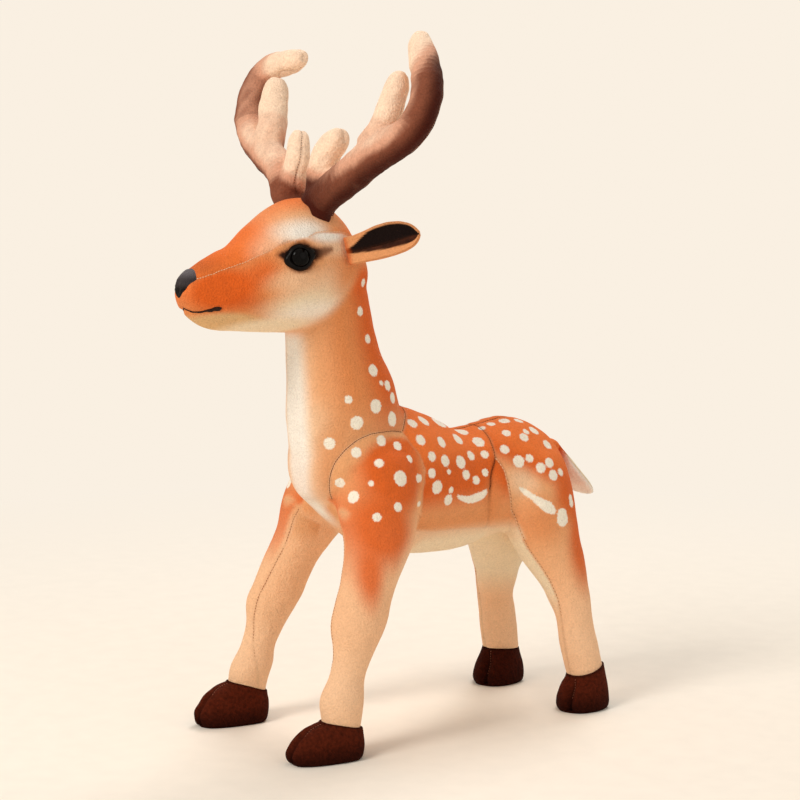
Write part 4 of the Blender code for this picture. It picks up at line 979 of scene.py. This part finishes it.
hoofShape = {
    # up, front reach from the ring's middle, rear reach, half width
    "front": [(22.4, 11.6, 11.6, 10.0), (22.2, 13.0, 12.9, 11.1), (21.0, 14.0, 13.2, 11.5),
              (19.6, 19, 13.4, 11.9), (18, 25, 13.4, 12.5), (15.5, 31.4, 13.4, 13.4), (12, 35.4, 13.2, 14.2),
              (8, 37, 12.9, 14.8), (4, 36.8, 12.3, 15.0), (1.5, 35.4, 11.4, 14.5), (0.6, 33.6, 10.4, 13.6)],
    "rear": [(22.4, 11.8, 11.8, 10.2), (22.2, 13.3, 13.2, 11.5), (21.0, 13.6, 13.6, 11.8),
             (18, 15.4, 13.8, 12.8), (13, 19.8, 14.0, 14.6), (8, 23, 13.9, 15.8), (4, 24, 13.2, 16.2),
             (1.5, 23.4, 12.0, 15.7), (0.6, 22.4, 11.0, 15)],
    "cleftDepth": 5.0, "cleftWidth": 2.1, "topSeam": 22.2,
    # forward place behind the toe where the cleft runs out and where it is full
    "cleftFrom": {"front": (8, 26), "rear": (8, 18)},
}
# ring middle sideways and forward, turn towards the left in degrees, slope of the sewn ring,
# height against the rows
hoofPlaces = {
    ("front", "left"): (53.2, -98.0, 0, 0.26, 0.9), ("front", "right"): (-53.2, -98.0, 0, 0.38, 1.0),
    ("rear", "left"): (44.1, 97.6, 24, -0.3, 1.12), ("rear", "right"): (-44.1, 97.6, 24, 0.08, 1.04),
}
# rings of a sole, from below: share of the hoof's lowest ring, height
soleLayers = [(0.9, 0.05), (0.985, 0.15), (0.985, 0.9), (0.9, 1.1)]


def hoofRings(rows, steps=34, around=64):
    # level rings whose front half reaches further than the rear half; u = 0 is the deer's left
    rows = curveThrough(rows, steps)
    u = np.linspace(0, 2 * math.pi, around, endpoint=False)
    cosine, sine = np.cos(u), np.sin(u)
    reach = np.where(sine < 0, rows[:, 1:2], rows[:, 2:3])
    blunt = np.sign(cosine) * np.abs(cosine) ** 0.85
    return np.stack([rows[:, 3:4] * blunt, reach * sine, rows[:, :1] * np.ones_like(u)], -1)


def swung(points, degrees):
    # turned about the upright axis: x cos - y sin, x sin + y cos
    cosine, sine = math.cos(math.radians(degrees)), math.sin(math.radians(degrees))
    x, y = points[..., 0], points[..., 1]
    return np.stack([x * cosine - y * sine, x * sine + y * cosine, points[..., 2]], -1)


hoofStitches = []
for (end, side), (out, forward, turn, slope, tall) in hoofPlaces.items():
    middle = [out, forward, 0]
    grid = hoofRings(hoofShape[end])
    local, faces = shellOf(grid)
    depth = smoothStep(*hoofShape["cleftFrom"][end], -local[:, 1]) * smoothStep(21, 13, local[:, 2])
    pull = hoofShape["cleftDepth"] * gapTo(local[:, 0], 0, hoofShape["cleftWidth"]) * depth
    local = local + np.stack([0 * pull, pull, -0.3 * pull * (local[:, 2] > 4)], 1)
    local[:, :2] *= (1 + 0.02 * lumps(local, 12, 11 if side == "left" else 13))[:, None]
    seam = np.minimum(np.abs(local[:, 0]) + 3 * (local[:, 1] > 0), np.abs(local[:, 2] - hoofShape["topSeam"]))
    placed = swung(local, turn)
    placed[:, 2] *= tall
    # the ring lies square to the leg
    placed[:, 2] -= slope * 14 * np.tanh(placed[:, 1] / 14) * smoothStep(12, 21, local[:, 2])
    placed = placed + middle
    hoof = newPiece(f"hoof_{end}_{side}", placed, faces)
    # painted shade: each hoof darker towards its bottom, the far rear hoof darker all over, and darker along
    # its seams
    shade = smoothStep(2, 16, local[:, 2]) * (0.3 if (end, side) == ("rear", "right") else 1.0)
    givePaint(hoof, mixed(palette["hoofDark"], palette["hoof"], shade), seam=1 - 0.8 * gapTo(seam, 0, 0.9))
    settle(hoof, hoofPlush, [f"{end}_hoof_{side}", f"{end}_hoof_stuffing_{side}"])
    # a few stitches down the front seam
    high = (local[:, 2] > 7) & (local[:, 2] < 21.5)
    row = np.flatnonzero((np.abs(local[:, 0]) < 0.6) & (local[:, 1] < 0) & high)
    line = placed[row[np.argsort(-local[row, 2])]]
    if len(line) > 3:
        hoofStitches.append((line, unit(line - [out, forward - 2, 8])))
    # the sole has the outline of the lowest ring
    outline = grid[-1] * [1.0, 1.0, 0]
    layers = np.stack([outline * share + [0, 0, height] for share, height in soleLayers])
    patch, faces = shellOf(swung(layers, turn))
    sole = newPiece(f"sole_{end}_{side}", patch + middle, faces)
    givePaint(sole, np.ones((len(patch), 1)) * palette["hoofDark"], seam=farOff)
    settle(sole, hoofPlush, [f"{end}_sole_{side}"])
print("hooves done")


# antlers

antlerShape = {
    "middle": (0, -90, 325), "up": (0, 0.407, 0.913), "forward": (0, -0.913, 0.407),
    # voxel of the merged skin in a render and a coarser voxel, rounds of smoothing
    "voxel": 0.9, "quickVoxel": 1.6, "rounds": 8,
    # sideways, up in the antler's plane, forward bow, radius
    "left": {
        "beam": [(12.4, -11, -5.6, 11), (10, -3.4, -5.6, 11.4), (12.3, 4.2, -4.6, 11.4), (22, 9.7, -3, 11.2),
                 (41.4, 19.9, -0.4, 11.5), (58.4, 29.3, 1.8, 11.5), (76.6, 37, 3, 11.1),
                 (90.6, 45.7, 3.2, 10.4), (94.3, 59, 2.8, 10), (90.8, 71.8, 2.4, 10), (81.4, 85, 1.8, 9.6),
                 (69.4, 96.7, 1, 8.6), (63.9, 103.6, 0.6, 6.8), (61.1, 108, 0.4, 3.9)],
        "middleTine": [(54.5, 35.1, 3, 8.9), (62, 44.2, 4, 9.0), (64.5, 52.8, 4.8, 8.8),
                       (65.6, 62.2, 5.5, 8.4), (65.9, 71, 6.3, 8.0), (65.5, 77, 6.5, 6.6),
                       (64.8, 80.3, 6.5, 3.9)],
        "browTine": [(10.3, 7.6, -3, 8.6), (11, 16.7, 0, 8.9), (12.9, 24.7, 2.6, 9.2), (15.4, 32.6, 4, 9.3),
                     (20.5, 37.4, 4.8, 8.8), (25.2, 40.1, 5.2, 7.3), (28.5, 41.4, 5.4, 4.7)],
    },
    "right": {
        "beam": [(8.9, -6.2, -5.6, 9), (14.3, -1.1, -5.6, 9.4), (21.8, 4.5, -3.6, 9.7), (25.7, 11.3, -1, 10),
                 (33.2, 20.3, 1, 10.4), (52.3, 30.3, 2.2, 10.8), (71.6, 39.6, 2.8, 10.3),
                 (86.1, 49.8, 3.2, 9.3), (94.2, 61.2, 3, 8.9), (97.8, 72.7, 2.6, 8.7), (95.4, 84.2, 2, 8.7),
                 (87.4, 91, 1.4, 8.7), (76.4, 93.3, 1, 8.6), (66.5, 95.3, 0.6, 7.8), (60.3, 96.9, 0.4, 6.2),
                 (56.2, 97.5, 0.3, 3.8)],
        "middleTine": [(55.1, 36, 3.2, 10.2), (56.3, 47.7, 4.4, 10), (59.9, 58.3, 5.4, 9.6),
                       (63.8, 68.4, 6, 9), (65, 75.2, 6.2, 7.9), (65, 79.7, 6.2, 5)],
        "browTine": [(19.3, 7.8, -2, 9.1), (16.5, 17.2, 1, 8.7), (14.6, 25.3, 3.6, 8.1),
                     (16.6, 32.8, 4.6, 7.5), (19.4, 39.3, 5, 6.9), (22, 44.2, 5.2, 4.5)],
    },
    # how far the edge seam turns round each tube, as the slope of its plane
    "seamTwist": {"left": {"beam": 0.9, "middleTine": 0.5, "browTine": 0.4},
                  "right": {"beam": -0.5, "middleTine": -0.6, "browTine": 0.4}},
    "tipFrom": {"left": (0.69, 0.87), "right": (0.64, 0.86)},
    # the paler print at the fork, shown towards the lit side as painted highlight: strength, and the shares
    # of the beam between which it comes and goes
    "forkPrint": {"left": (0.7, 0.22, 0.38, 0.48, 0.62), "right": (0.76, 0.14, 0.3, 0.4, 0.54)},
    # shares of the beam between which the dark root fades
    "rootDark": {"left": (0.36, 0.12), "right": (0.13, 0.0)},
    # share of a tine's length over which its cream print comes
    "tineReach": {"middleTine": 0.4, "browTine": 0.34},
    # where stitches show: tube, side of it (1 outer, -1 inner), start and stop as shares, thread
    "stitched": [("beam", 1, 0.08, 0.96, "pale"), ("beam", -1, 0.86, 0.95, "pale"),
                 ("browTine", -1, 0.15, 0.96, "dark"), ("middleTine", -1, 0.3, 0.95, "pale")],
}
antlerUp, antlerForward = np.array(antlerShape["up"]), np.array(antlerShape["forward"])
antlerMiddle = np.array(antlerShape["middle"], float)


def antlerPlace(rows, side):
    # middle + side * sideways + up in the antler's plane + bow square to it
    rows = np.asarray(rows, float)
    return (antlerMiddle + side * rows[:, :1] * [1.0, 0, 0] + rows[:, 1:2] * antlerUp
            + rows[:, 2:3] * antlerForward)


def awayFrom(way):
    # the antler's forward direction, made square to the way along a tube
    return unit(antlerForward - way * (way @ antlerForward)[:, None])


def tubeRings(centres, radii, around=32):
    # round rings square to a path, flattened a little front to back
    way = unit(np.gradient(centres, axis=0))
    away = awayFrom(way)
    return ringsAlong(centres, np.cross(way, away), away, radii, radii * 0.93, around)


def antlerSeam(row, sign, twist, way, start, stop):
    # the line on a tube's outer (1) or inner (-1) side where the two panels meet
    row = row[int(start * len(row)):int(stop * len(row))]
    centres = antlerPlace(row, sign)
    along = unit(np.gradient(centres, axis=0))
    away = awayFrom(along)
    return centres + unit(way * (sign * np.cross(along, away) - twist * away)) * row[:, 3:4]


def planeGap(across, high, path):
    # squared distance in the antler's plane from each point to each row of a path
    return (across[:, None] - path[None, :, 0]) ** 2 + (high[:, None] - path[None, :, 1]) ** 2


def antlerTone(place, across, high, lift, rows, side):
    # print dark at the root and cream on tip and tines; dark towards the outer rear as painted shade, and
    # pink-brown towards the inner front, which faces the light, partly print and partly painted highlight;
    # gives the colours and each point's share along the beam
    beam = rows["beam"]
    t = np.linspace(0, 1, len(beam))
    toBeam = planeGap(across, high, beam)
    nearest = toBeam.argmin(1)
    along, near = t[nearest], beam[nearest]
    way = unit(np.gradient(beam[:, :2], axis=0))[nearest]
    outward = (across - near[:, 0]) * way[:, 1] - (high - near[:, 1]) * way[:, 0]
    outward = np.clip(outward / near[:, 3], -1, 1)
    # how far each point faces the lit side, the inner front: used below to paint light and shade into the
    # colours
    litFacing = -0.64 * outward + 0.77 * np.clip(lift / near[:, 3], -1, 1)
    tip = smoothStep(*antlerShape["tipFrom"][side], along + 0.05 * litFacing)
    tine = np.zeros(len(place))
    for name, reach in antlerShape["tineReach"].items():
        gap = planeGap(across, high, rows[name])
        share = np.sqrt(gap.min(1)) / (np.sqrt(gap.min(1)) + np.sqrt(toBeam.min(1)) + 1e-6)
        tine = np.maximum(tine, smoothStep(0.85, 0.4, share) * smoothStep(0.0, reach, t[gap.argmin(1)]))
    strength, comes, full, fades, ends = antlerShape["forkPrint"][side]
    # the fork's paler print shows on the lit side only, so it is partly painted highlight
    fork = strength * smoothStep(-0.25, 0.8, litFacing)
    fork = fork * smoothStep(comes, full, along) * smoothStep(ends, fades, along)
    # a painted highlight on the lit side of the beam
    paintedHighlight = smoothStep(0.15, 0.9, litFacing) * smoothStep(0.16, 0.3, along)
    light = np.maximum(np.maximum(tip, tine), np.maximum(fork, 0.3 * paintedHighlight))
    light = np.clip(light + 0.05 * lumps(place, 9, 41), 0, 1)
    # dark print at the root, and painted shade on the outer rear, turned away from the light
    dark = np.maximum(smoothStep(*antlerShape["rootDark"][side], along),
                      smoothStep(0.25, -0.7, litFacing) * smoothStep(0.88, 0.74, along))
    tone = np.ones((len(place), 1)) * palette["antlerBrown"]
    for name, amount in (("antlerDark", dark), ("antlerPink", smoothStep(0.08, 0.5, light)),
                         ("antlerCream", smoothStep(0.5, 0.95, light))):
        tone = mixed(tone, palette[name], amount)
    return tone, along


antlerStitches = {"pale": [], "dark": []}
for side, sign in bothSides:
    rows = {name: curveThrough(path, 70) for name, path in antlerShape[side].items()}
    twist = antlerShape["seamTwist"][side]
    tubes = [shellOf(tubeRings(antlerPlace(row, sign), row[:, 3])) for row in rows.values()]
    antler = newPiece(f"antler_{side}", *fused(tubes))
    voxel = antlerShape["voxel"]
    reskinned(antler, voxel, antlerShape["rounds"])
    place, facing, corners = readMesh(antler)
    offset = place - antlerMiddle
    across, high, ahead = sign * offset[:, 0], offset @ antlerUp, offset @ antlerForward
    # the edge seam is a plane through each tube's middle, turned by its twist and blended between the tubes
    samples = np.concatenate([row[::5] for row in rows.values()])
    ways = np.concatenate([unit(np.gradient(row[:, :2], axis=0))[::5] for row in rows.values()])
    twists = np.concatenate([np.full(len(row[::5]), twist[name]) for name, row in rows.items()])
    weights = np.exp(-planeGap(across, high, samples) / 60)
    weights /= weights.sum(1, keepdims=True)
    lift = ahead - weights @ samples[:, 2]
    overAcross, overHigh = across[:, None] - samples[None, :, 0], high[:, None] - samples[None, :, 1]
    edge = lift + (weights * twists * (overAcross * ways[:, 1] - overHigh * ways[:, 0])).sum(1)
    seam = np.abs(edge)
    dents = (0.35 * lumps(place, 16, 21 + sign) + 0.2 * lumps(place, 7, 31 + sign)
             - 0.5 * gapTo(seam, 0, 1.2) - 0.35 * gapTo(seam, 0, 3.5))
    place, facing, corners, antlerTree = reshaped(antler, place + facing * dents[:, None])
    for name, way, start, stop, thread in antlerShape["stitched"]:
        line = antlerSeam(rows[name], sign, twist[name], way, start, stop)
        antlerStitches[thread].append(onSkin(line, antlerTree, 1.2))
    tone, along = antlerTone(place, across, high, lift, rows, side)
    # painted shade along the edge seam's groove, fading out before the tips
    seamShadow = 0.7 * smoothStep(0.96, 0.86, along) * gapTo(seam, 0, 0.7)
    front = edge[corners].mean(1) > 0
    for half, chosen in (("front", front), ("back", ~front)):
        piece, twice = sheetPiece(f"antler_{half}_plush_{side}", place, facing, corners, chosen)
        givePaint(piece, tone[twice], seam=(1 - seamShadow)[twice])
        settle(piece, antlerPlush, [f"antler_{half}_panel_{side}"])
    inside = newPiece(f"antler_filling_{side}", place - facing * filling["antlerInset"], corners.tolist())
    settle(inside, finish["fibre_fill"], [f"antler_stuffing_{side}"])
    bpy.data.objects.remove(antler)
print("antlers done")


# ears

earShape = {
    "root": (28.38, -76.26, 297.37), "way": (0.674, 0.698, 0.2419), "wide": (-0.16805, -0.17402, 0.9703),
    "facing": (0.7193, -0.6947, 0.0), "length": 44.6,
    # share of the length, upper half width, lower half width
    "outline": [(0, 8.0, 8.0), (0.12, 7.6, 8.0), (0.28, 8.6, 8.3), (0.45, 10.2, 8.6), (0.62, 10.6, 8.4),
                (0.78, 9.4, 7.6), (0.9, 6.8, 5.8), (0.97, 3.6, 3.4), (1.0, 0.8, 0.8)],
    # share of the length, share of the lower half that the dark lining covers
    "liningLow": [(0, 0.16), (0.1, 0.34), (0.3, 0.46), (0.5, 0.52), (0.8, 0.6), (1.0, 0.7)],
    # depth of the hollow on the lining's side, depth of the crease along it, half the gap between the cloths
    "cup": 3.0, "crease": 1.6, "apart": 0.55, "cloth": 0.0011,
}


def leafPiece(name, sheet, outwards, tone, wall, offset, node, body):
    # one cloth of a sewn leaf: a grid of points that faces outwards, thickened by a live modifier
    faces = gridFaces(*sheet.shape[:2])
    points = sheet.reshape(-1, 3)
    a, b, c = (points[faces[len(faces) // 2, n]] for n in range(3))
    if np.dot(np.cross(b - a, c - b), outwards) < 0:
        faces = faces[:, ::-1]
    piece = newPiece(name, points, faces.tolist())
    givePaint(piece, tone.reshape(-1, 3), seam=farOff, spot=farOff)
    cloth = piece.modifiers.new("cloth", "SOLIDIFY")
    cloth.thickness, cloth.offset = wall, offset
    settle(piece, plush, [node], body)


# two parameters of a leaf, along it (t) and across it (v)
t, v = np.linspace(0, 1, 44), np.linspace(-1, 1, 25)
tt, vv = np.meshgrid(t, v, indexing="ij")
earUpper, earLower = (eased(lineAt(earShape["outline"], t, column), 2)[:, None] for column in (1, 2))
earWidth = np.where(v > 0, earUpper, earLower) * v
earLift = (-earShape["cup"] * (1 - vv ** 2) * np.sin(np.pi * tt) ** 0.6
           - earShape["crease"] * gapTo(vv, -0.15, 0.18) * smoothStep(0.0, 0.2, tt)
           * smoothStep(0.95, 0.6, tt))
# the two cloths meet along the leaf's edge
earApart = earShape["apart"] * (0.04 + 0.96 * np.sqrt(1 - vv ** 2) * np.clip((1 - tt) / 0.1, 0, 1))
# the ears' peach ground, darkened with tan all over as painted shade from the fold of the lining
earShadedTone = palette["peach"] * 0.6 + palette["tan"] * 0.4
for side, mirror in bothSides:
    flip = [mirror, 1, 1.0]
    root, way, wide, facing = (np.array(earShape[name]) * flip for name in ("root", "way", "wide", "facing"))
    surface = (root + (t * earShape["length"])[:, None, None] * way + earWidth[..., None] * wide
               + earLift[..., None] * facing)
    for kind, outer, slot in (("lining", 1, "ear_lining"), ("back", -1, "side_plush")):
        sheet = surface + (outer * earApart)[..., None] * facing
        tone = np.ones((*tt.shape, 1)) * earShadedTone
        if kind == "lining":
            # the dark lining is a leaf inside the peach edge, pointed at the root, browner in its lower half
            edgeUp = 0.12 + smoothStep(-0.04, 0.36, tt) * 0.84
            edgeLow = lineAt(earShape["liningLow"], tt)
            dark = smoothStep(0.04, -0.04, np.where(vv > 0, vv - edgeUp, -vv - edgeLow))
            patchy = 0.6 + 0.4 * lumps(sheet.reshape(-1, 3), 5, 61).reshape(tt.shape)
            low = np.clip(smoothStep(0.12, -0.16, vv) * patchy, 0, 1)
            tone = mixed(tone, mixed(palette["liningDark"], palette["liningBrown"], low), dark)
        tone = mixed(tone, palette["deepRust"], 0.7 * smoothStep(0.08, 0.0, tt))
        leafPiece(f"ear_{kind}_plush_{side}", sheet, facing * outer, tone, earShape["cloth"], 1,
                  f"ear_{kind}_{side}", f"ear_{side}")
print("ears done")


# tail

tailShape = {
    # droop at the root, and how much of it is lost towards the tip, in degrees
    "root": (0, 104.6, 166.9), "droop": 60, "flick": 14, "length": 46, "swell": 4.0, "cloth": 0.0004,
    # share of the length, half width
    "outline": [(0, 6.4), (0.15, 8.2), (0.4, 11.6), (0.6, 14.4), (0.74, 15.6), (0.86, 15.0), (0.94, 12.4),
                (0.98, 9.0), (1, 4.0)],
}
t, v = np.linspace(0, 1, 40), np.linspace(-1, 1, 29)
tt, vv = np.meshgrid(t, v, indexing="ij")
angle = np.radians(tailShape["droop"] - tailShape["flick"] * t)
tailWay = np.stack([0 * t, np.cos(angle), -np.sin(angle)], 1)
tailUp = np.stack([0 * t, np.sin(angle), np.cos(angle)], 1)
tailMiddle = np.array(tailShape["root"]) + np.cumsum(tailWay, axis=0) * tailShape["length"] / len(t)
tailWidth = eased(lineAt(tailShape["outline"], t), 2)
tailPuff = (tailShape["swell"] * np.sqrt(1 - vv ** 2) * np.minimum(1, 0.3 + 2.2 * tt)
            * np.sqrt(np.clip(1 - tt, 0, 0.3) / 0.3))
# the print runs out of the root, on the top in a tapering tongue
topPrint = smoothStep(0.72, 0.12, tt) * smoothStep(0.95, 0.45, np.abs(vv) - smoothStep(0.3, 0.0, tt))
underPrint = smoothStep(0.42, 0.05, tt)
for kind, sign, ground, amount, slot in (("top", 1, "cream", topPrint, "back_plush"),
                                         ("under", -1, "white", underPrint, "cream_plush")):
    sheet = (tailMiddle[:, None] + (tailWidth[:, None] * vv)[..., None] * [1.0, 0, 0]
             + (sign * tailPuff)[..., None] * tailUp[:, None])
    leafPiece(f"tail_{kind}_plush", sheet, tailUp[20] * sign, mixed(palette[ground], palette["rust"], amount),
              tailShape["cloth"], -1, f"tail_{kind}", "tail")
print("tail done")


# eyes

def eyeDisc(rings, around=72):
    # polar grid: each row is a share of the outline, which has two corners, and a height on the eye's axis
    u = np.linspace(0, 2 * math.pi, around, endpoint=False)
    turn = math.radians(eyeSpot["cornerTurn"])
    fromBack, fromFront = (np.mod(u - turn + half, 2 * math.pi) - math.pi for half in (math.pi, 0))
    corners = gapTo(fromBack, 0, eyeSpot["cornerWidth"]) + gapTo(fromFront, 0, eyeSpot["cornerWidth"])
    rings = np.asarray(rings, float)
    reach = eyeSpot["radius"] + eyeSpot["cornerReach"] * corners
    far = np.where(rings[:, :1] > 0.7, reach, eyeSpot["radius"])
    return ((far * rings[:, :1])[..., None] * (np.cos(u)[:, None] * eyeBack + np.sin(u)[:, None] * eyeUp)
            + rings[:, 1:2, None] * eyeAxis)


for side, mirror in bothSides:
    for kind in ("plastic", "lens"):
        grid = (eyeDisc(eyeSpot[kind]) + eyeSpot["centre"]) * [mirror, 1, 1.0]
        piece = newPiece(f"eye_{kind}_{side}", *shellOf(grid))
        fasten(piece, finish[f"eye_{kind}"])
        if kind == "plastic":
            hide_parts(f"eye_{side}")
print("eyes done")


# threads

# seam, spacing, stitch length, radius, start and stop as shares, shift across the seam
seamThreads = {
    "pale": ("cream_plush", [
        ("muzzle", 1.7, 1.35, 0.28, 0.19, 1.0, 0), ("haunch", 2.3, 1.7, 0.32, 0.0, 1.0, 0.25),
        ("brow", 2.0, 1.4, 0.26, 0.0, 0.7, 0), ("shoulder", 1.7, 1.5, 0.22, 0.25, 1.0, 0.5),
        ("shoulder", 1.7, 1.5, 0.22, 0.25, 1.0, -0.5), ("collar", 1.7, 1.4, 0.22, 0.5, 1.0, 0.5)]),
    "brown": ("back_plush", [
        ("shoulder", 1.6, 1.5, 0.2, 0.0, 1.0, 0), ("collar", 1.7, 1.4, 0.2, 0.0, 1.0, 0),
        ("rump", 1.7, 1.4, 0.2, 0.0, 1.0, 0), ("hip", 1.5, 1.4, 0.24, 0.0, 0.45, 0),
        ("spine", 1.9, 1.5, 0.2, 0.0, 1.0, 0)]),
    "rust": ("side_plush", [
        ("foreleg", 1.9, 1.4, 0.17, 0.0, 0.85, 0), ("haunch", 2.3, 1.2, 0.2, 0.1, 0.75, -0.3)]),
}
# share of a stitch's length, share of its radius
stitchBead = np.array([(-0.5, 0.15), (-0.42, 0.75), (-0.2, 1.0), (0.2, 1.0), (0.42, 0.75), (0.5, 0.15)])


def stitches(path, facing, spacing, length, radius, lift, start=0.0, stop=1.0, aside=0.0):
    # short stitches along a seam: each a six-sided bead stretched along the way, with tapered ends
    run = runAlong(path)
    middles = np.arange(run[-1] * start + spacing / 2, run[-1] * stop, spacing)
    at = placesAt(path, run, middles)
    way = unit(placesAt(path, run, middles + 0.5) - at + 1e-9)
    out = unit(placesAt(facing, run, middles))
    side = np.cross(way, out)
    at = at + side * aside
    share, size = stitchBead.T
    u = np.linspace(0, 2 * math.pi, 6, endpoint=False)
    grid = (at[:, None, None] + way[:, None, None] * (share * length)[None, :, None, None]
            + out[:, None, None] * (lift - share ** 2 * radius)[None, :, None, None]
            + (out[:, None, None] * np.cos(u)[:, None] + side[:, None, None] * np.sin(u)[:, None])
            * (radius * size)[None, :, None, None])
    return [shellOf(one) for one in grid]


for kind, (slot, runs) in seamThreads.items():
    shells = []
    for seam, spacing, length, radius, start, stop, aside in runs:
        path, facing = onSkin(sewn[seam][0], finalTree, 0.9)
        shells += stitches(path, facing, spacing, length, radius, 0.02, start, stop, aside)
    thread = newPiece(f"seam_thread_{kind}", *fused(shells + [mirrored(shell) for shell in shells]))
    fasten(thread, finish[f"{kind}_thread"])
# spacing, stitch length, radius and height above the cloth
hoofStitch, antlerStitch = (1.7, 1.1, 0.24, 0.05), (1.6, 1.2, 0.18, 0.0)
for name, lines, material, slot, measures in (
        ("hoof_thread", hoofStitches, "hoof_thread", "hoof_plush", hoofStitch),
        ("antler_thread_pale", antlerStitches["pale"], "antler_thread", "antler_plush", antlerStitch),
        ("antler_thread_dark", antlerStitches["dark"], "brown_thread", "antler_plush", antlerStitch)):
    shells = [shell for path, facing in lines for shell in stitches(path, facing, *measures)]
    fasten(newPiece(name, *fused(shells)), finish[material])

# the mouth is one dark embroidered line that thickens to its corner
path, facing = onSkin(mouthPath, finalTree, 0.5)
path = eased(path, 12)
ease = np.linspace(0, 1, len(path))
mouthRadius = 0.7 + 0.95 * smoothStep(0.5, 0.9, ease) - 1.0 * smoothStep(0.94, 1.0, ease)
across = np.cross(unit(np.gradient(path, axis=0)), facing)
lips = shellOf(ringsAlong(path - facing * 0.25, across, facing, mouthRadius, mouthRadius * 0.8, 10))
fasten(newPiece("mouth_thread", *fused([lips, mirrored(lips)])), finish["dark_thread"])
print("threads done")

# the hidden wires, clips and washers are the solids themselves
innerParts = {"front_leg_wire": "frame_wire", "rear_leg_wire": "frame_wire", "spine_rod": "frame_wire",
              "frame_clip_front": "clip_plastic", "frame_clip_rear": "clip_plastic",
              "eye_washer_left": "washer_plastic", "eye_washer_right": "washer_plastic"}
for node, name in innerParts.items():
    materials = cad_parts[node].data.materials
    materials.clear()
    materials.append(finish[name])


# stage, light and camera

studio = {
    "backdrop": (0.955, 0.87, 0.76), "floorTone": (0.97, 0.88, 0.76), "worldTone": (1.0, 0.97, 0.93),
    "world": 0.5,
    # metres from the middle between which the floor melts into the backdrop
    "fade": (0.32, 0.95), "floorHalf": 6,
    # place, what it points at, disc size, power, tone
    "lamps": {"key": ((0.25, -1.85, 1.65), (0, 0, 0.2), 0.9, 26, (1.0, 0.97, 0.93)),
              "fill": ((1.9, 0.2, 0.9), (0, 0, 0.2), 1.4, 3, (1.0, 0.96, 0.92)),
              "rim": ((-0.7, 0.9, 1.7), (0, 0, 0.25), 0.9, 14, (1, 1, 1))},
}
# the photo's camera: degrees round from the nose and aside, metres, and pixels of an 800 pixel picture
cameraRig = {"azimuth": 54, "turn": 0.577, "distance": 1.4, "height": 0.3629, "focal": 2250, "drop": 260,
             "picture": 800, "sensor": 36}


def aimed(name, data, place, ahead):
    # an object at a place that looks along the way ahead
    holder = bpy.data.objects.new(name, data)
    holder.location = place
    holder.rotation_euler = ahead.to_track_quat("-Z", "Y").to_euler()
    scene.collection.objects.link(holder)
    return holder


def onlySeen(tree, factor, lit, seen, surface):
    # the seen shader, by the factor, for rays that only look; the lit shader for those that carry light
    rays = tree.nodes.new("ShaderNodeLightPath").outputs
    looking = addMath(tree, "MAXIMUM", rays["Is Camera Ray"], rays["Is Glossy Ray"])
    looking = addMath(tree, "MAXIMUM", looking, rays["Is Transmission Ray"])
    amount = addMath(tree, "MULTIPLY", factor, looking)
    feed(tree, surface, addNode(tree, "MixShader", "Shader", {"Fac": amount, 1: lit, 2: seen}))


half = studio["floorHalf"]
floorMesh = bpy.data.meshes.new("floor")
floorMesh.from_pydata([(-half, -half, 0), (half, -half, 0), (half, half, 0),
                       (-half, half, 0)], [], [(0, 1, 2, 3)])
floor = bpy.data.objects.new("floor", floorMesh)
scene.collection.objects.link(floor)
floorMaterial, tree, shader = newMaterial("floor", {"Roughness": 0.95, "Specular IOR Level": 0.0})
grain = addRange(tree, addNoise(tree, 60, 3.0), 0.3, 0.7, 0.0, 1.0)
darkTone = [channel * 0.97 for channel in studio["floorTone"]]
feed(tree, shader.inputs["Base Color"], addMix(tree, grain, darkTone, studio["floorTone"]))
distance = addNode(tree, "VectorMath", "Value", {0: addNode(tree, "TexCoord", "Object")}, operation="LENGTH")
onlySeen(tree, addRange(tree, distance, *studio["fade"], 0.0, 1.0), shader.outputs["BSDF"],
         addNode(tree, "Emission", "Emission", {"Color": studio["backdrop"]}),
         tree.nodes["Material Output"].inputs["Surface"])
floorMesh.materials.append(floorMaterial)

scene.world = bpy.data.worlds.new("studio")
scene.world.use_nodes = True
tree = scene.world.node_tree
tree.nodes.clear()
lit, seen = (addNode(tree, "Background", "Background", {"Color": studio[name], "Strength": strength})
             for name, strength in (("worldTone", studio["world"]), ("backdrop", 1.0)))
onlySeen(tree, 1.0, lit, seen, tree.nodes.new("ShaderNodeOutputWorld").inputs["Surface"])

for name, (place, target, size, power, tone) in studio["lamps"].items():
    lamp = bpy.data.lights.new(name, "AREA")
    lamp.shape, lamp.size, lamp.energy, lamp.color = "DISK", size, power, tone
    aimed(name, lamp, place, Vector(target) - Vector(place))

azimuth = math.radians(cameraRig["azimuth"])
look = azimuth + math.radians(cameraRig["turn"])
pitch = math.atan(cameraRig["drop"] / cameraRig["focal"])
cameraData = bpy.data.cameras.new("photo_view")
cameraData.sensor_width = cameraRig["sensor"]
cameraData.lens = cameraRig["focal"] * cameraRig["sensor"] / cameraRig["picture"]
place = (math.sin(azimuth) * cameraRig["distance"],
         -math.cos(azimuth) * cameraRig["distance"] + stanceShift[1] * toMetres, cameraRig["height"])
ahead = Vector((-math.sin(look) * math.cos(pitch), math.cos(look) * math.cos(pitch), -math.sin(pitch)))
scene.camera = aimed("photo_view", cameraData, place, ahead)
scene.view_settings.view_transform = "Standard"

print("scene ready")
